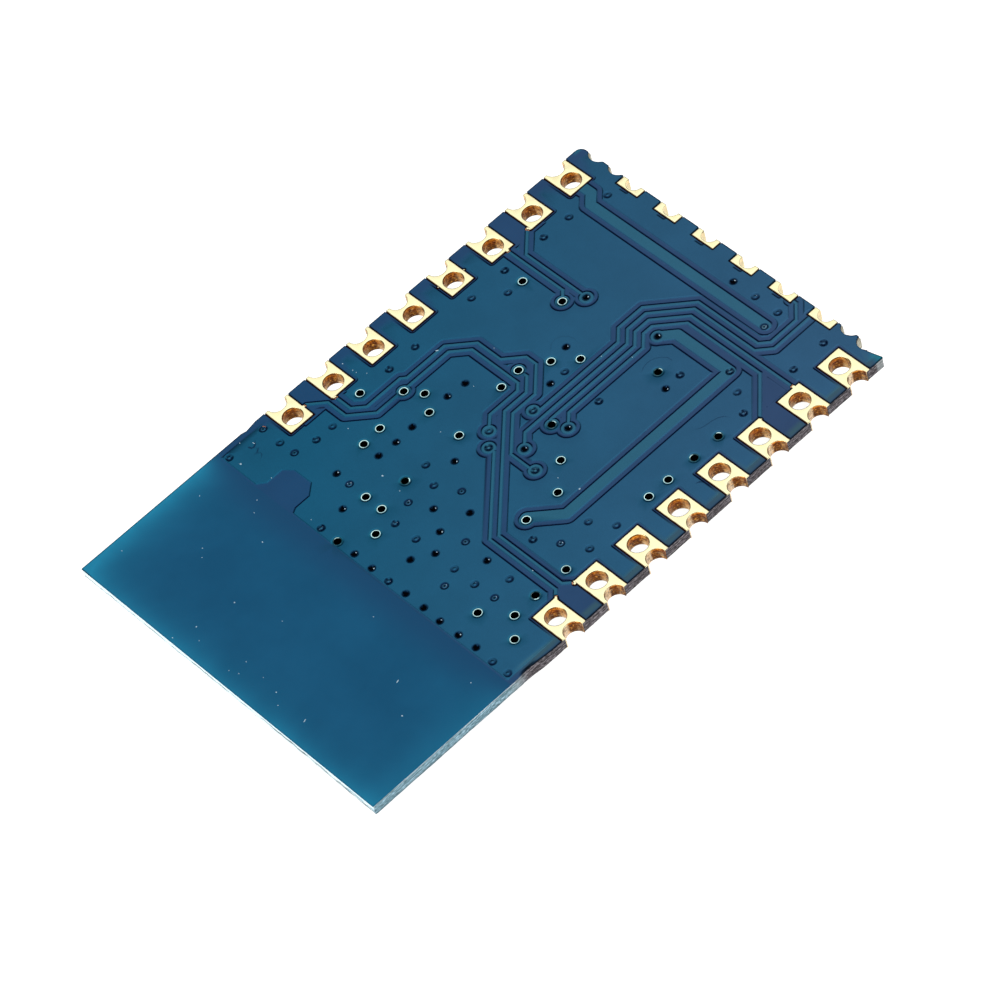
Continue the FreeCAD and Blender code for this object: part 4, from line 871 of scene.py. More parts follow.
def build_film():
    x0, y0, x1, y1 = -8.1, -12.5, 8.1, 12.66
    pts, shape = grid_points(x0, y0, x1, y1, GRID)
    sig, pour = copper_field(pts)
    film = film_field(pts)
    both = np.minimum(sig, pour)
    plan = Plan()
    edge_loops = []
    F = film.reshape(shape)
    for level in (0.0, -0.013, -0.03, -0.055):
        for loop, closed in contours(F, x0, y0, GRID, level):
            q = simplify(loop, closed, 0.0025)
            q = resample(q, 0.35) if closed else q
            plan.add(q, closed)
    C = np.where(film < 0.05, both, 1.0).reshape(shape)
    for level in (-0.048, -0.031, -0.0155, 0.0, 0.0155, 0.031, 0.048, 0.074):
        for loop, closed in contours(C, x0, y0, GRID, level):
            if len(loop) < 8:
                continue
            plan.add(simplify(loop, closed, 0.0018), closed)
    rings = {0.185: 26, 0.205: 26, 0.235: 24, 0.275: 20}
    for n, (x, y) in enumerate(OPEN_VIAS):
        for r, k in rings.items():
            plan.add(circle(x, y, r, k, 0.3 * n + r))
    for n, (x, y) in enumerate(TENTED):
        for r, k in ((0.02, 8), (0.045, 12), (0.07, 14), (0.092, 18), (0.118, 20), (0.145, 22), (0.175, 22), (0.20, 20)):
            plan.add(circle(x, y, r, k, 0.3 * n + r))
    for n, (x, y) in enumerate(PIN_VIAS):
        for r, k in ((0.04, 10), (0.072, 16), (0.082, 18), (0.092, 18), (0.103, 20), (0.116, 20), (0.135, 22), (0.16, 22), (0.19, 20)):
            plan.add(circle(x, y, r, k, 0.3 * n + r))
    for n, (x, y) in enumerate(HALF_VIAS):
        for r, k in ((0.015, 8), (0.04, 12), (0.06, 14), (0.08, 16), (0.10, 18), (0.13, 20), (0.16, 22), (0.19, 20)):
            plan.add(circle(x, y, r, k, 0.3 * n + r))
    gx, gy = np.meshgrid(np.arange(-7.75, 7.9, 0.45), np.arange(-12.2, 12.3, 0.45))
    g = np.stack([gx.ravel() + 0.12 * np.sin(gy.ravel() * 7), gy.ravel() + 0.12 * np.sin(gx.ravel() * 5)], 1)
    plan.scatter(g)
    gx, gy = np.meshgrid(np.arange(7.40, 7.93, 0.065), np.arange(-5.9, 12.4, 0.11))
    plan.scatter(np.stack([gx.ravel() + 0.012 * np.sin(gy.ravel() * 9), gy.ravel() + 0.012 * np.sin(gx.ravel() * 31)], 1))
    for line, width, _ in HAIRS:
        line = np.array(line)
        for a, b in zip(line[:-1], line[1:]):
            k = max(2, int(np.hypot(*(b - a)) / 0.03))
            run = a + (b - a) * (np.arange(k + 1) / k)[:, None]
            across = np.array([a[1] - b[1], b[0] - a[0]]) / np.hypot(*(b - a))
            for off in (-1.1, -0.5, 0.0, 0.5, 1.1):
                plan.scatter(run + across * off * width)
    v, f = plan.triangulate()
    cen = v[f].mean(1)
    keep = film_field(cen) < 0
    r, _ = nearest(cen, OPEN_VIAS, 0.4)
    keep &= r > 0.184
    f = f[keep]
    used = np.unique(f)
    remap = np.full(len(v), -1)
    remap[used] = np.arange(len(used))
    v, f = v[used], remap[f]
    z, cu = film_height(v)
    e = 0.004
    zx = (film_height(v + [e, 0])[0] - film_height(v - [e, 0])[0]) / (2 * e)
    zy = (film_height(v + [0, e])[0] - film_height(v - [0, e])[0]) / (2 * e)
    d = film_field(v)
    z -= 0.010 * smooth(-0.035, 0.0, d)
    nrm = np.stack([-zx, -zy, np.ones(len(v))], 1)
    nrm /= np.linalg.norm(nrm, axis=1)[:, None]
    # tints, with painted light and shade
    d_out = outline_field(v)
    rr, who = nearest(v, OPEN_VIAS, 0.40)
    ox, oy = (np.array([q[k] for q in OPEN_VIAS] + [0.0])[who] for k in (0, 1))
    lean = np.clip(((v[:, 0] - ox) - (v[:, 1] - oy)) / 0.3, -1, 1)
    side = 0.62 + 0.38 * lean
    strength = np.array([0.50, 0.45, 0.30, 0.40, 0.35, 0.25, 0.25, 0.25, 0.30, 0.35, 0.30, 0.25, 0.50, 0.45, 0.40, 0.40, 0.55, 0.55, 0.35, 0.40, 0.25,
                         0.30, 0.40, 0.45, 0.50, 0.50, 0.40, 0.30, 0.35, 0.40, 0.45, 0.45, 0.0])
    # painted glow: a teal halo round each open via, lighter on its side towards +x and -y, and at the two far corners
    glow = strength[who] * (1 - smooth(0.19, 0.30, rr)) * (who >= 0) * side
    glow = np.maximum(glow, 0.85 * smooth(7.35, 7.80, v[:, 0]) * smooth(11.85, 12.30, v[:, 1]))
    glow = np.maximum(glow, 0.45 * smooth(7.72, 7.86, -v[:, 0]) * smooth(11.9, 12.25, v[:, 1]))
    # painted shade: near black inside each pinhole, star-edged, and at each half via's centre
    dark = np.zeros(len(v))
    rp, wp = nearest(v, PIN_VIAS, 0.4)
    px, py = (np.array([q[k] for q in PIN_VIAS] + [0.0])[wp] for k in (0, 1))
    bear = np.arctan2(v[:, 1] - py, v[:, 0] - px)
    star = 0.018 * np.cos(3 * bear + wp * 1.3) + 0.012 * np.cos(5 * bear + wp * 2.1)
    dark = np.maximum(dark, 1 - smooth(0.094 + star, 0.130 + star, rp))
    rh, wh = nearest(v, HALF_VIAS, 0.4)
    dark = np.maximum(dark, 0.95 * (1 - smooth(0.030, 0.050, rh)))
    # painted shade in the small dent in the right edge
    dent_shade = np.hypot((v[:, 0] - 7.795) / 0.085, (v[:, 1] + 4.98) / 0.40)
    dark = np.maximum(dark, 0.95 * (1 - smooth(0.45, 1.10, dent_shade)))
    # a dark line along the film's edges: painted shade where the film steps down round the land windows; darker lines
    # along the board's left, far, near and right edges
    d_film = film_field(v)
    dark = np.maximum(dark, 0.60 * (1 - smooth(0.004, 0.022, -d_film)) * (d_out < -0.05))
    rim_left = (v[:, 0] < -7.2) | (v[:, 1] > 12.0)
    dark = np.maximum(dark, 0.80 * (1 - smooth(0.010, 0.055, -d_out)) * rim_left * (d_film > -0.07))
    dark = np.maximum(dark, 0.30 * (1 - smooth(0.010, 0.060, -d_out)) * (v[:, 1] < -12.0))
    dark = np.maximum(dark, 0.72 * (1 - smooth(0.030, 0.060, -d_out)) * (v[:, 0] < -7.7) * (v[:, 1] < -4.6) * (v[:, 1] > -12.25))
    rim_right = (v[:, 0] > 7.4) & (v[:, 1] > -5.3) & (v[:, 1] < 11.9)
    dark = np.maximum(dark, 0.88 * (1 - smooth(0.014, 0.066, -d_out)) * rim_right * (d_film > -0.08))
    painted_shade_and_hairlines = np.zeros(len(v))
    # painted shade: navy where the film runs down a copper edge, on the flanks turned from the light
    lee = np.clip((-nrm[:, 0] * 0.85 + nrm[:, 1] * 0.75) / 0.17, 0, 1)
    near_cu = 1 - smooth(0.032, 0.060, np.minimum(*[np.abs(q) for q in copper_field(v)]))
    painted_shade_and_hairlines = np.maximum(painted_shade_and_hairlines, lee * near_cu * (1 - 0.45 * smooth(11.35, 11.85, v[:, 1])))
    # painted shadow: a dark crescent on the lee side of each signal land's clearance
    rl, wl = nearest(v, SIGNAL_LANDS, 0.62)
    lx, ly = (np.array([q[k] for q in SIGNAL_LANDS] + [0.0])[wl] for k in (0, 1))
    from_land = np.clip(((v[:, 0] - lx) - (v[:, 1] - ly)) / 0.6, -1, 1)
    painted_shade_and_hairlines = np.maximum(painted_shade_and_hairlines, 0.85 * np.exp(-((rl - 0.425) / 0.045) ** 2) * smooth(0.15, 0.75, from_land) * (np.abs(copper_field(v)[1]) < 0.09) * (wl >= 0))
    for line, width, strength in HAIRS:
        painted_shade_and_hairlines = np.maximum(painted_shade_and_hairlines, strength * (1 - smooth(-0.1 * width, 0.45 * width, lines_field(v, [(line, width)], 0.2))))
    # painted shade: a dark ring round each filled via, heavier towards one side, with dark lobes on some
    rt, wt = nearest(v, TENTED, 0.4)
    tx, ty = (np.array([q[k] for q in TENTED] + [0.0])[wt] for k in (0, 1))
    turn = np.arctan2(v[:, 1] - ty, v[:, 0] - tx)
    kind = np.array([_rand(n, 2) for n in range(len(TENTED))] + [0.0])[wt]
    toward = np.array([_rand(n, 3) * 1.6 - 1.3 for n in range(len(TENTED))] + [0.0])[wt]
    lobes = np.where(kind > 0.55, 0.30 * np.cos(3 * turn + wt * 2.0) + 0.20 * np.cos(5 * turn + wt), 0.0)
    weight = np.clip(0.52 + 0.38 * kind + 0.34 * np.cos(turn - toward) + lobes, 0, 1)
    ring = smooth(0.045, 0.085, rt) * (1 - smooth(0.130, 0.175, rt))
    painted_shade_and_hairlines = np.maximum(painted_shade_and_hairlines, weight * ring)
    dark = np.maximum(dark, 0.75 * smooth(0.50, 0.75, kind) * np.clip(weight - 0.30, 0, 1) * ring)
    # painted shade: a dark ring round each half via and a dark halo round each pinhole
    painted_shade_and_hairlines = np.maximum(painted_shade_and_hairlines, 0.95 * smooth(0.085, 0.105, rh) * (1 - smooth(0.135, 0.175, rh)))
    painted_shade_and_hairlines = np.maximum(painted_shade_and_hairlines, 0.70 * (1 - smooth(0.13, 0.195, rp)))
    # painted shadow: a dark teal crescent beside each open via, on its side towards +x and a little towards -y
    away = np.arctan2(v[:, 1] - oy, v[:, 0] - ox)
    painted_via_shadow = (1 - smooth(0.225, 0.350, rr)) * smooth(-0.35, 0.55, np.cos(away + math.radians(28))) * (who >= 0) * 0.92
    painted_via_shadow = painted_via_shadow * (np.array([_rand(n, 5) for n in range(len(OPEN_VIAS))] + [0.0])[who] * 0.35 + 0.65)
    on_track = 1 - smooth(-0.055, -0.012, copper_field(v)[0])
    glow = np.maximum(glow, 0.13 * on_track)
    worn = 0.80 + 0.35 * noise3(np.c_[v * np.array([6.0, 1.6]), np.zeros(len(v))], 12)
    strip = (1 - smooth(0.20, 0.42, -d_out)) * (0.45 + 0.55 * smooth(0.03, 0.13, -d_out)) * (v[:, 0] > 7.4)
    strip = strip * smooth(-5.6, -4.9, v[:, 1]) * (1 - smooth(11.8, 12.1, v[:, 1])) * np.clip(worn, 0, 1) * 0.75
    strip = np.maximum(strip, 0.17 * on_track)
    # pale dust specks, and painted highlights: a pale dot at the centre of some filled vias and a pale ring inside each
    # half via
    dust_and_glint = np.zeros(len(v))
    dust_and_glint = np.maximum(dust_and_glint, 0.035 * kind * (1 - smooth(0.030, 0.072, rt)))
    pale_half = np.array([0.05, 0.02, 0.05, 0.05, 0.02, 0.03, 0.04, 0.05, 0.13, 0.03, 0.0])[wh]
    dust_and_glint = np.maximum(dust_and_glint, pale_half * smooth(0.035, 0.055, rh) * (1 - smooth(0.075, 0.098, rh)))
    # skirt down to the laminate, and an underside that closes the skin
    rim = boundary_loops(f)
    rim_v = np.unique(rim)
    low = np.full(len(v), -1)
    low[rim_v] = len(v) + np.arange(len(rim_v))
    verts = np.c_[v[:, 0], v[:, 1] + SHIFT, z]
    skirt = [(int(b), int(a), int(low[a]), int(low[b])) for a, b in rim]
    lowpts = np.c_[v[rim_v, 0], v[rim_v, 1] + SHIFT, np.full(len(rim_v), Z_CORE_TOP + 0.001)]
    res = delaunay_2d_cdt([Vector((float(a), float(b))) for a, b in v[rim_v]],
                          [(int(low[a] - len(v)), int(low[b] - len(v))) for a, b in rim], [], 0, 1e-7, True)
    ids = [o[0] if o else -1 for o in res[3]]
    under = []
    cc = np.array([(q[0], q[1]) for q in res[0]], float)
    tri = np.array([t for t in res[2] if len(t) == 3], int)
    mid = cc[tri].mean(1)
    rv, _ = nearest(mid, OPEN_VIAS, 0.4)
    ok = (film_field(mid) < 0) & (rv > 0.184)
    for t in tri[ok]:
        t = [ids[i] for i in t]
        if min(t) < 0:
            continue
        a, b, c = (v[rim_v[i]] for i in t)
        if (b[0] - a[0]) * (c[1] - a[1]) - (b[1] - a[1]) * (c[0] - a[0]) > 0:
            t = t[::-1]
        under.append(tuple(len(v) + i for i in t))
    allv = np.vstack([verts, lowpts])
    faces = [tuple(t) for t in f] + skirt + under
    n_low = np.zeros((len(rim_v), 3))
    n_low[:, 2] = -1
    pad0 = np.zeros(len(rim_v))
    attrs = {k: np.concatenate([a, a2]) for k, a, a2 in (("cu", cu, pad0), ("glow", glow, pad0), ("dark", dark, dark[rim_v]), ("painted_shade_and_hairlines", painted_shade_and_hairlines, pad0),
                                                        ("strip", strip, strip[rim_v]), ("dust_and_glint", dust_and_glint, pad0), ("painted_via_shadow", painted_via_shadow, pad0))}
    # dust, and painted glints: small closed grains sunk in the film
    extra_v, extra_f, extra_s = [], [], []
    total = len(allv)
    for n, (x, y, a, b, turn, height, white) in enumerate(grains()):
        c, s = math.cos(turn), math.sin(turn)
        q = circle(0, 0, 1, 8, 0.4 * n) * np.array([a, b])
        q = np.stack([x + q[:, 0] * c - q[:, 1] * s, y + q[:, 0] * s + q[:, 1] * c], 1)
        base = film_height(np.array([[x, y]]))[0][0] if height > 0 else Z_GAP - 0.004
        top = base + abs(height)
        ring = np.c_[q[:, 0], q[:, 1] + SHIFT, np.full(8, base - 0.001)]
        extra_v.append(np.vstack([ring, [[x, y + SHIFT, top]], [[x, y + SHIFT, base - 0.008 if height > 0 else Z_CORE_TOP + 0.0045]]]))
        for k in range(8):
            extra_f.append((total + k, total + (k + 1) % 8, total + 8))
            extra_f.append((total + (k + 1) % 8, total + k, total + 9))
        extra_s.append(np.full(10, white))
        total += 10
    allv = np.vstack([allv] + extra_v)
    faces += extra_f
    ev = np.concatenate(extra_s)
    attrs = {k: np.concatenate([a, ev if k == "dust_and_glint" else np.zeros(len(ev))]) for k, a in attrs.items()}
    # per-corner normals: the relief's own on top, flat ones on the skirt and underside
    return allv, faces, attrs, nrm, len(f)


def grains():
    """(x, y, half length, half width, turn, height, whiteness)"""
    out = [(x, y, a, b, turn, 0.006, 0.95) for x, y, a, b, turn in SPECKS]
    # painted glints at the rim of the pinholes
    glints = [(0, 0.95), (1, 0.9), (2, 0.7), (3, 0.8), (4, 0.6), (5, 0.55), (6, 0.7), (8, 0.6), (10, 0.75), (12, 0.5), (13, 0.8), (15, 0.7), (16, 0.95),
              (17, 0.5), (18, 0.75), (20, 0.6), (21, 0.95), (23, 0.65), (25, 0.5), (26, 0.9), (28, 0.9)]
    for n, white in glints:
        x, y = PIN_VIAS[n]
        turn = 1.15 + 0.5 * math.sin(n * 2.3)
        out.append((x + 0.078 * math.cos(turn), y + 0.078 * math.sin(turn), 0.032, 0.024, turn + 1.57, -0.006, white))
    # painted highlights: light dots on the filled vias
    for n, bearing, white in ((4, 2.0, 0.5), (5, 1.2, 0.4), (6, 1.7, 0.95), (10, 0.9, 0.45), (10, 2.6, 0.4), (10, 4.2, 0.35), (12, 1.0, 0.3), (15, 1.6, 0.4),
                              (18, 0.8, 0.35), (24, 1.1, 0.35), (27, 2.2, 0.35), (30, 1.4, 0.6), (30, 3.6, 0.3), (31, 1.0, 0.3), (35, 1.5, 0.5), (35, 4.7, 0.5),
                              (36, 0.7, 0.35), (33, 1.9, 0.3), (22, 2.9, 0.3), (20, 1.1, 0.25)):
        x, y = TENTED[n]
        out.append((x + 0.070 * math.cos(bearing), y + 0.070 * math.sin(bearing), 0.022, 0.013, bearing + 1.57, 0.004, 0.75 * white))
    # painted highlights: light dots on the half vias
    for n, bearing, white in ((0, 1.1, 0.95), (0, 2.9, 0.35), (2, 1.3, 0.7), (3, 1.5, 0.9), (3, 3.5, 0.45), (5, 1.2, 0.6), (6, 1.9, 0.6), (8, 1.0, 0.8)):
        x, y = HALF_VIAS[n]
        out.append((x + 0.070 * math.cos(bearing), y + 0.070 * math.sin(bearing), 0.026, 0.018, bearing + 1.57, 0.005, white))
    return out


SPECKS = [(3.63, 1.446, 0.045, 0.04, 0), (-5.02, 2.48, 0.07, 0.03, 0.9), (-2.36, -2.64, 0.045, 0.04, 0), (-6.86, -5.56, 0.05, 0.035, 0.3),
          (4.69, -8.3, 0.085, 0.022, 1.9), (3.375, -11.5, 0.095, 0.022, 1.9), (-2.67, -11.33, 0.03, 0.03, 0), (-3.6, -7.36, 0.035, 0.03, 0),
          (-2.39, -9.76, 0.04, 0.03, 0), (5.89, -9.175, 0.04, 0.03, 0.5), (-2.74, 2.2, 0.025, 0.02, 0), (-6.3, 0.14, 0.025, 0.02, 0),
          (-2.16, 0.03, 0.022, 0.02, 0), (2.69, 1.29, 0.025, 0.02, 0), (-7.35, -0.12, 0.03, 0.02, 0.6), (-6.82, -0.09, 0.025, 0.02, 0),
          (-6.64, -0.08, 0.02, 0.02, 0), (-4.95, -2.0, 0.025, 0.02, 0), (4.95, -2.07, 0.025, 0.02, 0), (-1.37, -2.7, 0.025, 0.018, 0),
          (-7.61, -4.95, 0.03, 0.02, 0), (-5.49, -5.26, 0.022, 0.02, 0), (-2.94, -5.58, 0.02, 0.02, 0), (-4.82, -6.69, 0.025, 0.02, 0),
          (-5.17, -6.25, 0.022, 0.02, 0), (6.74, -6.7, 0.03, 0.02, 0.4), (1.98, -7.0, 0.03, 0.018, 0.2), (-6.98, -7.46, 0.022, 0.02, 0),
          (-5.12, -8.93, 0.025, 0.02, 0), (-4.81, -9.21, 0.02, 0.02, 0), (-0.43, -9.2, 0.022, 0.02, 0), (-7.35, -10.88, 0.025, 0.02, 0),
          (-2.13, -11.66, 0.022, 0.02, 0), (-2.98, -12.19, 0.03, 0.02, 0), (-0.125, -11.18, 0.022, 0.02, 0), (-0.325, -11.82, 0.022, 0.02, 0),
          (1.69, -11.35, 0.028, 0.025, 0), (0.86, -11.23, 0.02, 0.018, 0), (2.16, -11.68, 0.025, 0.02, 0), (0.05, -11.68, 0.025, 0.02, 0),
          (-3.46, 3.87, 0.02, 0.018, 0), (-0.06, 6.05, 0.02, 0.018, 0), (0.85, 6.72, 0.022, 0.018, 0), (-7.2, -4.63, 0.07, 0.018, 0.2)]


def relief_object(name, data, replaces):
    allv, faces, attrs, nrm, n_top = data
    mesh = bpy.data.meshes.new(name)
    mesh.from_pydata((allv * MM).tolist(), [], faces)
    n_faces = len(faces)
    flags = [True] * n_top + [False] * (n_faces - n_top)
    mesh.polygons.foreach_set("use_smooth", flags)
    for key, values in attrs.items():
        a = mesh.attributes.new(key, "FLOAT", "POINT")
        a.data.foreach_set("value", np.asarray(values, np.float32))
    loops = np.zeros(len(mesh.loops), np.int32)
    mesh.loops.foreach_get("vertex_index", loops)
    corner = np.zeros((len(loops), 3))
    start = np.zeros(n_faces, np.int32)
    total = np.zeros(n_faces, np.int32)
    mesh.polygons.foreach_get("loop_start", start)
    mesh.polygons.foreach_get("loop_total", total)
    face_of = np.repeat(np.arange(n_faces), total)
    fn = np.zeros(n_faces * 3)
    mesh.polygons.foreach_get("normal", fn)
    fn = fn.reshape(-1, 3)
    is_top = face_of < n_top
    corner[is_top] = nrm[loops[is_top]]
    corner[~is_top] = fn[face_of[~is_top]]
    mesh.normals_split_custom_set([tuple(c) for c in corner])
    mesh.update()
    obj = bpy.data.objects.new(name, mesh)
    bpy.context.scene.collection.objects.link(obj)
    mesh.materials.append(FILM)
    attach(obj, "root")
    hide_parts(*replaces)
    return obj


film_data = build_film()
relief_object("pad_side_film", film_data, ["mask_pad_side"])
print("film triangles", len(film_data[1]))

# the copper under it, shown only where the part is taken apart
def build_copper(name, which, node_name, z_top=Z_GAP - 0.012):
    x0, y0, x1, y1 = -8.1, -12.5, 8.1, 12.66
    pts, shape = grid_points(x0, y0, x1, y1, 0.04)
    sig, pour = copper_field(pts)
    F = sig if which == "sig" else pour
    lands = boxes_field(pts, [land_box(s, y, 0.06) + (0.0,) for s, y in SIDE_LANDS] + [end_box(x, 0.06) + (0.0,) for x in ENDS])
    F = np.maximum(F, -lands)
    F = np.maximum(F, outline_field(pts) + 0.1)
    plan = Plan()
    for loop, closed in contours(F.reshape(shape), x0, y0, 0.04, 0.0):
        if closed and len(loop) > 10:
            plan.add(simplify(loop, closed, 0.004))
    holes = [(x, y, 0.187) for x, y in OPEN_VIAS] + [(x, y, 0.13) for x, y in PIN_VIAS] + [(x, y, 0.12) for x, y in HALF_VIAS]
    for x, y, r in holes:
        plan.add(circle(x, y, r, 20))
    v, f = plan.triangulate()
    c = v[f].mean(1)
    sig, pour = copper_field(c)
    F = sig if which == "sig" else pour
    lands = boxes_field(c, [land_box(s, y, 0.06) + (0.0,) for s, y in SIDE_LANDS] + [end_box(x, 0.06) + (0.0,) for x in ENDS])
    keep = (F < 0) & (lands > 0) & (discs_field(c, holes) > -0.003) & (outline_field(c) < -0.1)
    f = f[keep]
    used = np.unique(f)
    remap = np.full(len(v), -1)
    remap[used] = np.arange(len(used))
    v, f = v[used], remap[f]
    n = len(v)
    rim = boundary_loops(f)
    top = np.c_[v[:, 0], v[:, 1] + SHIFT, np.full(n, z_top)]
    low = np.c_[v[:, 0], v[:, 1] + SHIFT, np.full(n, Z_CORE_TOP + 0.002)]
    faces = [tuple(t) for t in f] + [tuple(n + i for i in t[::-1]) for t in f] + [(int(b), int(a), int(a) + n, int(b) + n) for a, b in rim]
    return make(name, np.vstack([top, low]), faces, COPPER, [node_name], smooth_faces=False)


build_copper("signal_track_foil", "sig", "signal_tracks")
build_copper("ground_pour_foil", "pour", "ground_pour")


# ---------------------------------------------------------------------------
# the laminate: sawn and routed walls with their glass fibres, drilled through
# ---------------------------------------------------------------------------
def laminate_field(p):
    d = outline_field(p)
    for s, y in SIDE_LANDS:
        d = np.maximum(d, -d_disc(p, (s * 7.94, y), 0.425))
    for x in ENDS:
        d = np.maximum(d, -d_disc(p, (x, 12.47), 0.365))
    return d


def build_laminate():
    x0, y0, x1, y1 = -8.1, -12.5, 8.1, 12.66
    pts, shape = grid_points(x0, y0, x1, y1, GRID)
    near_edge = laminate_field(pts).reshape(shape)
    loops = [l for l, closed in contours(near_edge, x0, y0, GRID, 0.0) if closed and len(l) > 200]
    loop = max(loops, key=len)
    loop = resample(simplify(loop, True, 0.003), 0.075)
    n = len(loop)
    nxt, prv = np.roll(loop, -1, 0), np.roll(loop, 1, 0)
    tan = nxt - prv
    tan /= np.linalg.norm(tan, axis=1)[:, None]
    out = np.stack([tan[:, 1], -tan[:, 0]], 1)
    # make sure it points outwards
    probe = laminate_field(loop + out * 0.02)
    if (probe < 0).mean() > 0.5:
        out = -out
    B = Build("pale", "snow", "line", "floor", "sand", "grime")
    zs = np.array([Z_CORE_TOP, 2.838, 2.80, 2.755, 2.71, 2.67, 2.63, 2.59, 2.55, 2.51, 2.47, 2.43, 2.395, 2.362, Z_CORE])
    y = loop[:, 1]
    x = loop[:, 0]
    tail = 1 - smooth(-6.3, -5.0, y)
    end_wall = (y < -12.30).astype(float)
    in_bite = (y > 12.05) & (np.min([np.hypot(x - bx, y - by) - br for bx, by, br in BITES], 0) < 0.02)
    half = np.minimum(np.min([np.hypot(x - s * 7.94, y - yy) for s, yy in SIDE_LANDS], 0) - 0.425,
                      np.min([np.hypot(x - xx, y - 12.47) for xx in ENDS], 0) - 0.365) < 0.01
    s = np.cumsum(np.linalg.norm(loop - prv, axis=1))
    rows, attrs = [], {k: [] for k in ("pale", "snow", "line", "floor", "sand", "grime")}
    # the dent at the antenna's shoulder is only in the upper edge: lower down the wall runs straight
    shoulder = (x > 7.6) & (y > -5.75) & (y < -3.8)
    straight = 7.88 + 0.06 * smooth(-5.1, -4.3, y)
    corner = (x > 7.3) & (y > 12.0) & (in_bite == 0)
    for zi, z in enumerate(zs):
        q = np.c_[s * 1.1, np.full(n, z * 7), np.zeros(n)]
        q2 = np.c_[s * 5.0, np.full(n, z * 14), np.ones(n)]
        t = (Z_CORE_TOP - z) / (Z_CORE_TOP - Z_CORE)
        rough = 0.010 * fbm(q, 3, 11) + 0.008 * fbm(q2, 2, 23) - 0.014
        bulge = np.where(end_wall > 0, -0.012 - 0.020 * smooth(0.55, 1.0, t) * (0.5 + 0.5 * noise3(np.c_[s * 0.9, np.zeros(n), np.zeros(n)], 3)), -0.004)
        off = np.where(half, -0.0, rough + bulge)
        if zi in (0, len(zs) - 1):
            off = np.where(half, 0, off - 0.006)
        ring = loop + out * off[:, None]
        ring[:, 0] = np.where(shoulder, ring[:, 0] + np.maximum(straight - x, 0) * smooth(0.05, 0.45, t), ring[:, 0])
        rows.append(np.c_[ring, np.full(n, z)])
        pale = np.maximum(tail, 0.35 * corner)
        # the end wall whitish and given a painted glow, fading low down towards its right end
        snow = end_wall * (1 - 0.75 * smooth(0.50, 0.90, t + 0.22 * fbm(np.c_[s * 1.6, np.zeros(n), np.ones(n) * 4], 3, 31)) * smooth(3.5, 6.5, x))
        crest = np.interp(x, [-7.9, -5.6, -2.0, 1.1, 3.7, 5.4, 7.7], [0.78, 0.76, 0.68, 0.60, 0.50, 0.62, 0.86])
        crest = crest + 0.14 * fbm(np.c_[s * 1.5, np.zeros(n), np.ones(n) * 9], 3, 41) + 0.10 * noise3(np.c_[s * 5.5, np.zeros(n), np.ones(n) * 2], 43)
        wide = np.where(t > crest, 0.085 + 0.11 * smooth(1.5, 4.5, x), 0.085)
        line = np.minimum(1.25 * np.exp(-((t - crest) / wide) ** 2), 1.0) * np.clip(0.80 + 0.90 * fbm(np.c_[s * 2.6, np.zeros(n), np.zeros(n)], 2, 19), 0.15, 1)
        line = end_wall * line
        right_tail = tail * (x > 7.7)
        line = np.maximum(line, 0.75 * right_tail * smooth(0.82, 0.97, t))
        line = np.maximum(line, 0.85 * (1 - tail) * (1 - in_bite) * smooth(0.88, 1.0, t))
        line = np.maximum(line, 0.9 * (1 - tail) * (1 - in_bite) * (1 - smooth(0.0, 0.10, t)))
        # a little of the same whitish painted glow at the far right corner, near the top
        snow = np.maximum(snow, 0.22 * corner * (1 - smooth(0.0, 0.25, t)))
        grime = 0.95 * right_tail * smooth(0.02, 0.18, t)
        blot = smooth(-0.10, 0.22, fbm(np.c_[s * 3.2, np.full(n, z * 9), np.ones(n) * 5], 3, 57) + 0.30 * smooth(5.8, 7.8, x) - 0.12)
        grime = np.maximum(grime, 0.92 * end_wall * smooth(4.8, 6.6, x) * smooth(0.22, 0.55, t) * blot)
        snow = snow * (1 - 0.95 * end_wall * smooth(4.8, 6.6, x) * smooth(0.22, 0.55, t) * blot)
        for k, a in (("pale", pale), ("snow", snow), ("line", line), ("floor", np.zeros(n)), ("sand", 0.95 * in_bite), ("grime", grime)):
            attrs[k].append(a)
    m = len(zs)
    v = np.vstack(rows)
    v[:, 1] += SHIFT
    # faces wind so that their normals point out
    area2 = np.sum(loop[:, 0] * np.roll(loop[:, 1], -1) - np.roll(loop[:, 0], -1) * loop[:, 1])
    ccw = area2 > 0
    f = []
    for r in range(m - 1):
        for i in range(n):
            j = (i + 1) % n
            a, b, c, d = r * n + i, r * n + j, (r + 1) * n + j, (r + 1) * n + i
            f.append((d, c, b, a) if ccw else (a, b, c, d))
    B.add(v, f, **{k: np.concatenate(a) for k, a in attrs.items()})
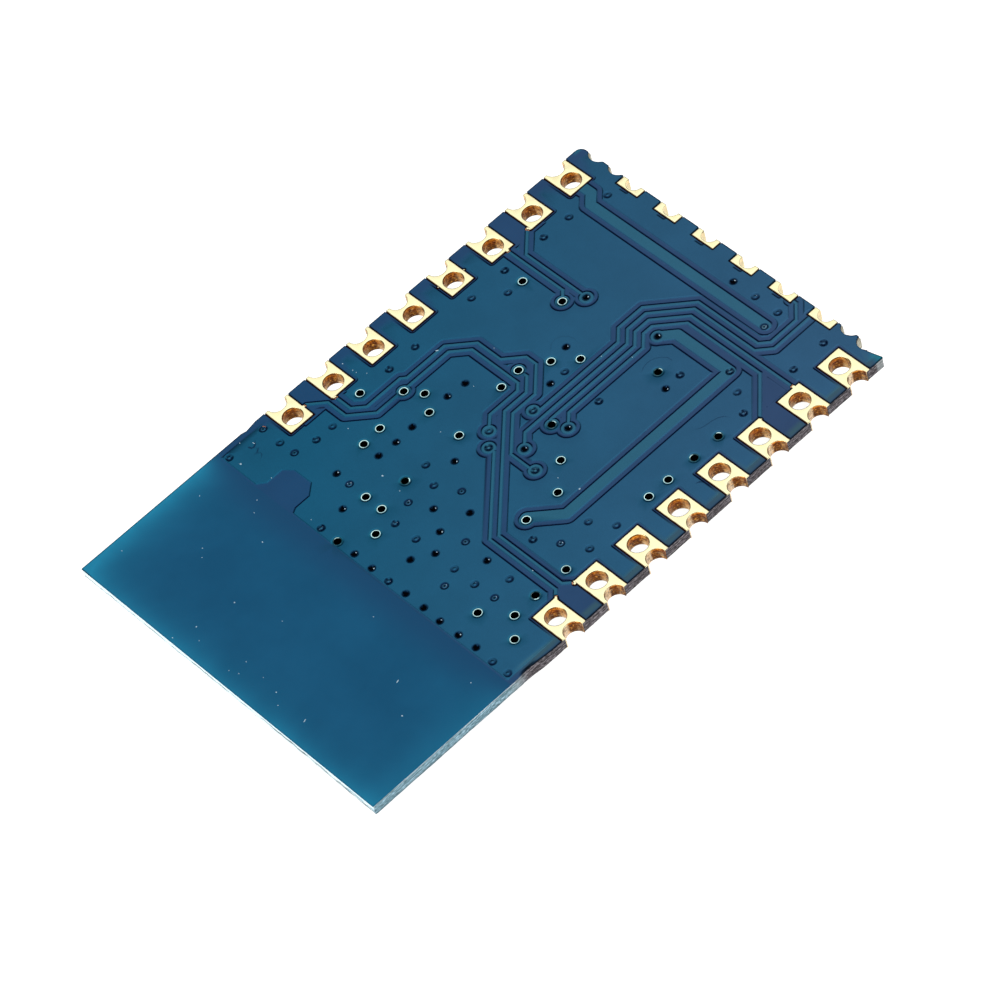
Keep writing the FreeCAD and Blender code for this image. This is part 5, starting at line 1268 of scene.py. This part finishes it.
    # flat faces with every drilled hole, and the holes' walls
    holes = ([(s_ * 7.0, yy, 0.425, 40) for s_, yy in SIDE_LANDS] + [(vx, vy, 0.155, 20) for vx, vy in OPEN_VIAS]
             + [(vx, vy, 0.13, 14) for vx, vy in PIN_VIAS] + [(vx, vy, 0.12, 14) for vx, vy in HALF_VIAS])
    top_loop = rows[0][:, :2]
    low_loop = rows[-1][:, :2]
    for level, edge, up in ((Z_CORE_TOP, top_loop, True), (Z_CORE, low_loop, False)):
        plan = Plan()
        plan.add(edge)
        for bx, by, br in BITES:
            for step in (0.05, 0.10, 0.16):
                arc = circle(bx, by, br + step, 30)
                plan.scatter(arc[d_poly(arc, edge) < -0.02])
        for hx, hy, r, k in holes:
            plan.add(circle(hx, hy, r, k))
        pv, pf = plan.triangulate(1e-6)
        c = pv[pf].mean(1)
        ok = (d_poly(c, edge) < 0) & (discs_field(c, [(hx, hy, r) for hx, hy, r, k in holes]) > -0.004)
        pf = pf[ok]
        if not up:
            pf = pf[:, ::-1]
        near_bite = 1 - smooth(0.09, 0.15, np.min([np.hypot(pv[:, 0] - bx, pv[:, 1] - by) - br for bx, by, br in BITES], 0))
        B.add(np.c_[pv[:, 0], pv[:, 1] + SHIFT, np.full(len(pv), level)], pf, floor=1.0 - near_bite, sand=near_bite)
    for hx, hy, r, k in holes:
        c = circle(hx, hy, r, k)
        c[:, 1] += SHIFT
        v = np.vstack([np.c_[c, np.full(k, Z_CORE_TOP)], np.c_[c, np.full(k, Z_CORE)]])
        B.add(v, [(i, (i + 1) % k, k + (i + 1) % k, k + i) for i in range(k)], floor=1.0)
    v = B.verts()
    return make("laminate_board", v, B.f, LAMINATE, ["substrate_board"], attrs=B.attrs(), sharp=45)


build_laminate()


# ---------------------------------------------------------------------------
# pads: land, rolled hole edges, pitted plated barrels
# ---------------------------------------------------------------------------
def tube(B, cx, cy, r_in, r_out, a0, a1, n, zs, seed, closed, rough=0.016, pale=0.0, kind="pin"):
    """Plated hole wall with the drill's ribs. Angles in radians, counter-clockwise."""
    m = len(zs)
    count = n if closed else n + 1
    ang = a0 + (a1 - a0) * np.arange(count) / n
    inner, outer, depth = [], [], []
    for k, z in enumerate(zs):
        q = np.c_[np.cos(ang) * 6.0, np.sin(ang) * 6.0, np.full(count, z * 9.0)] + seed * 3.7
        t = (zs[0] - z) / (zs[0] - zs[-1])
        fade = min(1.0, min(k, m - 1 - k) / 2.0)
        rib = 0.35 * (1 + np.sin(z * 58.0 + 1.5 * np.cos(ang + seed)))
        r = r_in - fade * rough * (0.20 + 0.75 * np.abs(fbm(q, 3, seed)) + rib)
        if k == 0:
            r = np.full(count, r_in + 0.022)
        if k == 1:
            r = r_in + 0.004 - 0.3 * rough * np.abs(fbm(q, 2, seed))
        inner.append(np.c_[cx + r * np.cos(ang), cy + r * np.sin(ang), np.full(count, z)])
        outer.append(np.c_[cx + r_out * np.cos(ang), cy + r_out * np.sin(ang), np.full(count, z)])
        depth.append(np.full(count, t))
    v = np.vstack(inner + [outer[0], outer[-1]])
    f = []
    span = count if closed else count - 1
    for r in range(m - 1):
        for i in range(span):
            j = (i + 1) % count
            f.append((r * count + i, r * count + j, (r + 1) * count + j, (r + 1) * count + i))
    o0, o1 = m * count, (m + 1) * count
    last = (m - 1) * count
    for i in range(span):
        j = (i + 1) % count
        f.append((o0 + i, o1 + i, o1 + j, o0 + j))
        f.append((i, o0 + i, o0 + j, j))
        f.append((last + i, last + j, o1 + j, o1 + i))
    if not closed:
        col = [r * count for r in range(m)]
        f.append(tuple([o0] + col + [o1])[::-1])
        col = [r * count + count - 1 for r in range(m)]
        f.append(tuple([o0 + count - 1] + col + [o1 + count - 1]))
    pit = np.ones(len(v)) * (1 - pale)
    pit[:count] = 0.0
    pit[count:2 * count] *= 0.8
    depth = np.concatenate(depth + [np.zeros(count), np.ones(count)])
    # painted light and shade by bearing: darkest on the wall turned to the board's far left, lighter round both sides
    # of it
    b = np.degrees(np.arctan2(v[:, 1] - cy, v[:, 0] - cx)) % 360
    if kind == "pin":
        clean = np.interp(b, [0, 70, 95, 118, 134, 165, 195, 230, 360], [0.55, 0.85, 0.85, 0.55, 0.0, 0.0, 0.34, 0.60, 0.55])
        cream = np.zeros(len(v))
    elif kind == "half" and cx > 0:
        clean = np.interp(b, [80, 100, 108, 122, 134, 168, 180, 290], [0.10, 0.05, 0.25, 0.35, 0.0, 0.0, 0.4, 0.5])
        cream = np.interp(b, [80, 166, 184, 225, 250, 290], [0, 0, 0.95, 0.90, 0.8, 0.8])
        depth = np.interp(depth, [0, 0.06, 0.16, 0.30, 1.0], [0, 0.08, 0.33, 0.46, 1.0])
    else:
        clean, cream = np.full(len(v), 0.5), np.full(len(v), 0.3)
    B.add(v, f, pit=pit, depth=depth, clean=clean, cream=cream)


def land(B, field, x0, y0, x1, y1, z_top, z_low, rims, flip=False, d=0.01, seed=1):
    """A thin plate of the shape field(p) < 0. rims: (inset, drop) from the edge inwards."""
    pts, shape = grid_points(x0 - 5 * d, y0 - 5 * d, x1 + 5 * d, y1 + 5 * d, d)
    F = field(pts).reshape(shape)
    plan = Plan()
    for inset, drop in rims:
        for loop, closed in contours(F, x0 - 5 * d, y0 - 5 * d, d, -inset):
            if closed:
                plan.add(simplify(loop, closed, 0.0012))
    v, f = plan.triangulate(1e-6)
    c = v[f].mean(1)
    f = f[field(c) < 0]
    used = np.unique(f)
    remap = np.full(len(v), -1)
    remap[used] = np.arange(len(used))
    v, f = v[used], remap[f]
    dist = -field(v)
    drop = np.interp(dist, [r[0] for r in rims], [r[1] for r in rims])
    z = z_top - drop if not flip else z_top + drop
    z = z + (0.0015 * noise3(np.c_[v * 4.0, np.full(len(v), seed * 2.0)], seed))
    n = len(v)
    rim = boundary_loops(f)
    rim_v = np.unique(rim)
    low = np.full(n, -1)
    low[rim_v] = n + np.arange(len(rim_v))
    faces = [tuple(t) if not flip else tuple(t[::-1]) for t in f]
    wall = [(int(b), int(a), int(low[a]), int(low[b])) for a, b in rim]
    faces += wall if not flip else [w[::-1] for w in wall]
    verts = np.vstack([np.c_[v, z], np.c_[v[rim_v], np.full(len(rim_v), z_low)]])
    side = np.zeros(len(verts))
    # painted shade: a dark outline (rim) on the land's side walls and on its rolled edge where it turns towards +x and
    # -y
    if not flip:
        outside = -field(v, False)
        e = 0.006
        gx, gy = (field(v + q, False) - field(v - q, False) for q in (np.array([e, 0.0]), np.array([0.0, e])))
        lower = smooth(0.1, 0.5, (0.80 * gx - 0.75 * gy) / (2 * e))
        side[:n] = np.maximum(np.where(outside < 0.004, 1.0, 0.0), lower * np.interp(outside, [0.0, 0.006, 0.016, 0.03], [1.0, 0.70, 0.34, 0.0]))
        side[n:] = np.where(outside[rim_v] < 0.004, 1.0, 0.0)
    B.add(verts, faces, pit=0.0, rim=side)


RIMS = [(0.0, 0.014), (0.006, 0.006), (0.016, 0.001), (0.03, 0.0)]
RIMS_LOW = [(0.0, 0.010), (0.02, 0.0)]
ZS = np.concatenate([[Z_LAND - 0.002, Z_LAND - 0.020], np.linspace(Z_LAND - 0.05, 2.345, 17), [2.318, 2.306]])


def build_side_pad(side, k):
    s = -1 if side == "left" else 1
    y = ROWS[k]
    edge = s * 7.935
    x0, x1 = sorted((s * 6.30, s * 7.96))
    nibs = [nb for nb in NIBS if abs(nb[1] - y) < 0.75 and nb[0] * s > 0]

    def shape(p, holes=True):
        wob = 0.006 * noise3(np.c_[p * 5.0, np.full(len(p), k * 3.1 + s)], 7)
        xa, xb = sorted((6.398 if s > 0 else -6.458, s * 8.4))
        f = d_box(p, xa, y - 0.548, xb, y + 0.548, 0.03) + wob
        if nibs:
            f = np.minimum(f, discs_field(p, nibs, 0.4))
        if holes:
            f = np.maximum(f, p[:, 0] * s - 7.925)
            f = np.maximum(f, -d_disc(p, (s * 7.0, y), 0.395))
            f = np.maximum(f, -d_disc(p, (s * 7.94, y), 0.395))
        return f

    def shape_low(p, holes=True):
        return np.maximum(shape(p), p[:, 0] * s - 7.895)

    B = Build("pit", "depth", "rim", "clean", "cream")
    land(B, shape, x0, y - 0.72, x1, y + 0.72, Z_LAND, Z_CORE_TOP, RIMS, seed=k + 1)
    land(B, shape_low, x0, y - 0.72, x1, y + 0.72, 2.305, Z_CORE, RIMS_LOW, flip=True, d=0.02, seed=k + 31)
    tube(B, s * 7.0, y, 0.395, 0.4249, 0, 2 * math.pi, 52, ZS, k * 2 + (5 if s > 0 else 90), True)
    reach = math.acos(0.028 / 0.40)
    a0, a1 = (math.pi - reach, math.pi + reach) if s > 0 else (-reach, reach)
    tube(B, s * 7.94, y, 0.395, 0.4249, a0, a1, 26, ZS, k * 2 + (6 if s > 0 else 91), False, kind="half")
    v = B.verts()
    v[:, 1] += SHIFT
    make("gold_pad_%s_%d" % (side, k + 1), v, B.f, GOLD, ["pad_%s_%d" % (side, k + 1)], attrs=B.attrs(), sharp=50)


def build_end_pad(k):
    x = ENDS[k]

    def shape(p, holes=True):
        wob = 0.005 * noise3(np.c_[p * 5.0, np.full(len(p), k * 2.3)], 9)
        f = d_box(p, x - 0.553, 12.052, x + 0.553, 13.2, 0.03) + wob
        if k == 4:
            f = np.minimum(f, d_disc(p, (x + 0.50, 12.09), 0.055))
        if not holes:
            return f
        f = np.maximum(f, p[:, 1] - 12.465)
        return np.maximum(f, -d_disc(p, (x, 12.47), 0.335))

    B = Build("pit", "depth", "rim", "clean", "cream")
    land(B, shape, x - 0.62, 11.95, x + 0.62, 12.5, Z_LAND, Z_CORE_TOP, RIMS, seed=k + 61)
    land(B, shape, x - 0.62, 11.95, x + 0.62, 12.5, 2.305, Z_CORE, RIMS_LOW, flip=True, d=0.02, seed=k + 71)
    reach = math.acos(0.005 / 0.34)
    mid = -math.pi / 2
    tube(B, x, 12.47, 0.335, 0.3649, mid - reach, mid + reach, 24, ZS, 200 + k, False, pale=0.55, kind="end")
    v = B.verts()
    v[:, 1] += SHIFT
    make("gold_pad_end_%d" % (k + 1), v, B.f, GOLD, ["pad_end_%d" % (k + 1)], attrs=B.attrs(), sharp=50)


for k in range(8):
    build_side_pad("left", k)
    build_side_pad("right", k)
for k in range(6):
    build_end_pad(k)


# ---------------------------------------------------------------------------
# the film on the can side, with the printed antenna standing up under it
# ---------------------------------------------------------------------------
ANTENNA = [(-4.6, -5.70), (-4.6, -7.0), (-6.9, -7.0), (-6.9, -11.6), (-5.3, -11.6), (-5.3, -8.6), (-3.7, -8.6), (-3.7, -11.6), (-2.1, -11.6), (-2.1, -8.6),
           (-0.5, -8.6), (-0.5, -11.6), (1.1, -11.6), (1.1, -8.6), (2.7, -8.6), (2.7, -11.6), (4.3, -11.6), (4.3, -8.6), (5.9, -8.6), (5.9, -11.6), (7.0, -11.6)]
LEG = [(-6.9, -5.70), (-6.9, -7.2)]


def build_can_film():
    x0, y0, x1, y1 = -8.1, -12.5, 8.1, 12.66
    d = 0.03
    pts, shape = grid_points(x0, y0, x1, y1, d)
    low = [(q[0], q[1] - SHIFT) for q in ANTENNA], [(q[0], q[1] - SHIFT) for q in LEG]

    def region(p):
        out = outline_field(p) + 0.045
        win = boxes_field(p, [land_box(s, y, 0.06) + (0.05,) for s, y in SIDE_LANDS] + [end_box(x, 0.06) + (0.05,) for x in ENDS])
        frame_gap = np.maximum(d_box(p, -6.15, -4.35 - SHIFT, 6.15, 10.95 - SHIFT, 0.1), -d_box(p, -5.65, -3.85 - SHIFT, 5.65, 10.45 - SHIFT, 0.1))
        return np.maximum(np.maximum(out, -win), -frame_gap)

    strips = [(min(a[0], b[0]) - 0.25, min(a[1], b[1]) - 0.25, max(a[0], b[0]) + 0.25, max(a[1], b[1]) + 0.25, 0.02)
              for line in low for a, b in zip(line, line[1:])]

    def ribbon(p):
        """The copper under this film: the antenna's strips and the ground foil with its clearance round the lands."""
        foil = d_box(p, -7.66, -5.62 - SHIFT, 7.66, 12.13 - SHIFT, 0.05)
        clear = boxes_field(p, [land_box(s, y, 0.12) + (0.05,) for s, y in SIDE_LANDS] + [end_box(x, 0.12) + (0.05,) for x in ENDS])
        return np.minimum(boxes_field(p, strips), np.maximum(foil, -clear))

    plan = Plan()
    for level in (0.0, -0.03):
        for loop, closed in contours(region(pts).reshape(shape), x0, y0, d, level):
            if closed and len(loop) > 8:
                plan.add(resample(simplify(loop, closed, 0.004), 0.5))
    R_ = np.where(region(pts) < 0.03, ribbon(pts), 1.0).reshape(shape)
    for level in (-0.045, -0.015, 0.015, 0.045):
        for loop, closed in contours(R_, x0, y0, d, level):
            if len(loop) > 8:
                plan.add(simplify(loop, closed, 0.003), closed)
    gx, gy = np.meshgrid(np.arange(-7.6, 7.9, 0.6), np.arange(-12.1, 12.3, 0.6))
    plan.scatter(np.stack([gx.ravel() + 0.1 * np.sin(gy.ravel() * 7), gy.ravel() + 0.1 * np.sin(gx.ravel() * 5)], 1))
    v, f = plan.triangulate()
    f = f[region(v[f].mean(1)) < 0]
    used = np.unique(f)
    remap = np.full(len(v), -1)
    remap[used] = np.arange(len(used))
    v, f = v[used], remap[f]
    n = len(v)
    h = 2.326 - 0.021 * (1 - smooth(-0.045, 0.045, ribbon(v))) + 0.012 * smooth(-0.03, 0.0, region(v)) + 0.0015 * noise3(np.c_[v * 1.7, np.zeros(n)], 8)
    rim = boundary_loops(f)
    face = np.c_[v[:, 0], v[:, 1] + SHIFT, h]
    back = np.c_[v[:, 0], v[:, 1] + SHIFT, np.full(n, Z_CORE - 0.001)]
    faces = [tuple(t[::-1]) for t in f] + [tuple(n + i for i in t) for t in f] + [(int(a), int(b), int(b) + n, int(a) + n) for a, b in rim]
    return make("can_side_film", np.vstack([face, back]), faces, LOWFILM, ["mask_can_side"], sharp=50)


LOWFILM = plain("can_side_film", (0.010, 0.060, 0.120), (0.014, 0.075, 0.145), 900.0, (0.28, 0.36), 0.0, 0.002, (1, 1, 1), 0.4)
build_can_film()


# ---------------------------------------------------------------------------
# open vias: a bright flange with a painted highlight round a plated hole painted dark as shade
# ---------------------------------------------------------------------------
# painted highlight: brightness of each bare ring and the bearing (degrees) of its brightest part
RINGS = [(0.95, 160), (0.85, 150), (0.95, 170), (1.0, 160), (1.0, 140), (1.0, 150), (0.22, 100), (0.16, 95), (0.34, 130), (0.20, 190), (0.80, 150),
         (1.0, 160), (0.80, 180), (0.85, 150), (1.0, 150), (0.95, 170), (0.95, 150), (1.0, 170), (0.90, 150), (1.0, 160), (0.72, 200), (0.88, 170),
         (0.95, 160), (0.34, 60), (1.0, 190), (0.88, 140), (0.92, 200), (0.14, 150), (0.34, 330), (0.90, 180), (0.85, 170), (0.88, 190)]


def build_vias():
    B = Build("inside", "tone")
    n = 36
    for num, (x, y) in enumerate(OPEN_VIAS):
        a = np.arange(n) * 2 * math.pi / n
        shine, bearing = RINGS[num]
        lit = 0.5 + 0.5 * np.cos(a - math.radians(bearing))
        # painted highlight: tone and width of the ring round its circle; weak rings keep one lit arc only
        tone = shine * (0.84 + 0.16 * lit) if shine > 0.5 else np.maximum(shine * 0.08, 0.95 * smooth(0.88, 0.98, lit) * (shine / 0.34) ** 0.5)
        tone = np.clip(tone + 0.10 * noise3(np.c_[np.cos(a) * 2.2 + num, np.sin(a) * 2.2, np.full(n, 3.0)], 6), 0, 1)
        inner = -0.004 * lit + 0.004 * (1 - lit)
        prof = [(0.1845, Z_CORE_TOP, 0.5), (0.1840, 2.888, 0.5), (0.1820, 2.8915, 0.5), (0.1775, 2.8925, 0.30), (0.1720, 2.893, 0), (0.1490, 2.8925, 0),
                (0.1455, 2.886, 0.9), (0.144, 2.874, 1), (0.142, 2.84, 1), (0.140, 2.70, 1), (0.138, 2.50, 1), (0.136, 2.362, 1), (0.0, 2.358, 1)]
        v, ins, tn = [], [], []
        for r, z, i in prof[:-1]:
            w = 1 + (0.018 * noise3(np.c_[np.cos(a) * 2 + num, np.sin(a) * 2, np.full(n, z * 8)], 4) if 0.165 > r else 0)
            q = r * w + (inner if r < 0.165 else 0)
            v.append(np.c_[x + q * np.cos(a), y + SHIFT + q * np.sin(a), np.full(n, z)])
            ins += [i] * n
            tn.append(tone)
        v.append(np.array([[x, y + SHIFT, prof[-1][1]]]))
        ins.append(1)
        tn.append(np.zeros(1))
        m = len(prof) - 1
        f = []
        for r in range(m - 1):
            for i in range(n):
                j = (i + 1) % n
                f.append((r * n + i, r * n + j, (r + 1) * n + j, (r + 1) * n + i))
        for i in range(n):
            f.append(((m - 1) * n + i, (m - 1) * n + (i + 1) % n, m * n))
        B.add(np.vstack(v), f, inside=ins, tone=np.concatenate(tn))
    m, nt, bsdf = new_material("via_metal")
    vec = coords(nt)
    n1 = noise(nt, vec, 7000.0, 3.0, 0.6)
    inside, tone = attr(nt, "inside"), attr(nt, "tone")
    bright = mix(nt, mapr(nt, n1, 0.3, 0.7, 0.0, 1.0), (0.54, 0.93, 0.96), (0.72, 0.97, 0.92))
    flange = mix(nt, tone, (0.006, 0.050, 0.070), bright)
    # painted shade: the flange's outer skirt goes dark teal and the hole's wall near black
    col = mix(nt, mapr(nt, inside, 0.0, 0.5, 0.0, 1.0), flange, (0.004, 0.048, 0.068))
    nt.links.new(mix(nt, mapr(nt, inside, 0.5, 0.9, 0.0, 1.0), col, (0.0012, 0.0014, 0.0016)), bsdf.inputs["Base Color"])
    nt.links.new(mapr(nt, inside, 0.5, 0.9, 0.9, 0.0), bsdf.inputs["Metallic"])
    nt.links.new(mapr(nt, inside, 0.5, 0.9, 0.3, 0.0), bsdf.inputs["Specular IOR Level"])
    nt.links.new(mapr(nt, n1, 0.3, 0.7, 0.10, 0.20), bsdf.inputs["Roughness"])
    bump(nt, bsdf, n1, 0.0012 * MM)
    return make("open_via_rings", B.verts(), B.f, m, ["via_barrels"], attrs=B.attrs(), sharp=60)


build_vias()

# ---------------------------------------------------------------------------
# finishes of the CAD nodes that are shown as they are
# ---------------------------------------------------------------------------
FINISH = {"copper_can_side": COPPER, "antenna_trace": COPPER, "shield_can": CAN, "can_solder": SOLDER,
          "soc_package": MOULD, "soc_leadframe": TIN, "flash_package": MOULD, "flash_leads": TIN, "crystal_base": XTAL, "crystal_lid": LID,
          "inductor_rf": FERRITE, "inductor_supply": FERRITE, "led_base": LED_BODY, "led_lens": LENS}
for k in range(1, 9):
    FINISH["capacitor_%d" % k] = CAPACITOR
for k in range(1, 5):
    FINISH["resistor_%d" % k] = RESISTOR
for name, material in FINISH.items():
    o = NODES[name]
    o.data.materials.clear()
    o.data.materials.append(material)

# ---------------------------------------------------------------------------
# floor and light
# ---------------------------------------------------------------------------
def floor():
    m, nt, bsdf = new_material("floor")
    vec = coords(nt)
    n = noise(nt, vec, 30.0, 3.0, 0.5)
    nt.links.new(mix(nt, mapr(nt, n, 0.3, 0.7, 0.0, 1.0), (0.44, 0.44, 0.44), (0.46, 0.46, 0.46)), bsdf.inputs["Base Color"])
    bsdf.inputs["Roughness"].default_value = 0.9
    bsdf.inputs["Specular IOR Level"].default_value = 0.0
    bsdf.inputs["Emission Color"].default_value = (1, 1, 1, 1)
    bsdf.inputs["Emission Strength"].default_value = 0.93
    mesh = bpy.data.meshes.new("floor")
    s = 1.5
    mesh.from_pydata([(-s, -s, 0), (s, -s, 0), (s, s, 0), (-s, s, 0)], [], [(0, 1, 2, 3)])
    mesh.materials.append(m)
    o = bpy.data.objects.new("floor", mesh)
    bpy.context.scene.collection.objects.link(o)


floor()


def area(name, pos, target, size, size_y, power, color=(1, 1, 1)):
    d = bpy.data.lights.new(name, "AREA")
    d.shape = "RECTANGLE"
    d.size, d.size_y = size, size_y
    d.energy = power
    d.color = color
    o = bpy.data.objects.new(name, d)
    bpy.context.scene.collection.objects.link(o)
    o.location = pos
    o.rotation_euler = (Vector(target) - Vector(pos)).to_track_quat("-Z", "Y").to_euler()
    return o


world = bpy.data.worlds.new("studio")
bpy.context.scene.world = world
world.use_nodes = True
nt = world.node_tree
nt.nodes.clear()
w_out = nt.nodes.new("ShaderNodeOutputWorld")
w_bg = nt.nodes.new("ShaderNodeBackground")
w_tc = nt.nodes.new("ShaderNodeTexCoord")
w_sep = nt.nodes.new("ShaderNodeSeparateXYZ")
nt.links.new(w_tc.outputs["Generated"], w_sep.inputs[0])
w_rise = mapr(nt, w_sep.outputs[2], 0.54, 0.745, 0.0, 1.0, "SMOOTHSTEP")
w_top = mapr(nt, w_sep.outputs[2], 0.82, 1.0, 1.0, 1.32)
w_side = mapr(nt, w_sep.outputs[1], -0.30, 0.20, 0.70, 1.0, "SMOOTHSTEP")
w_sky = mix(nt, w_rise, (0.050, 0.050, 0.080), (1.22, 1.22, 1.22))
nt.links.new(w_sky, w_bg.inputs["Color"])
nt.links.new(math_node(nt, "MULTIPLY", w_top, w_side), w_bg.inputs["Strength"])
nt.links.new(w_bg.outputs[0], w_out.inputs["Surface"])

# a low soft light in front, for the board's end wall
area("front_soft", (0.02, -0.45, 0.14), (0, 0, 0.0), 0.5, 0.25, 1.3)

scene = bpy.context.scene
scene.view_settings.view_transform = "Standard"
scene.view_settings.look = "None"
scene.view_settings.exposure = 0.0
scene.view_settings.gamma = 1.0
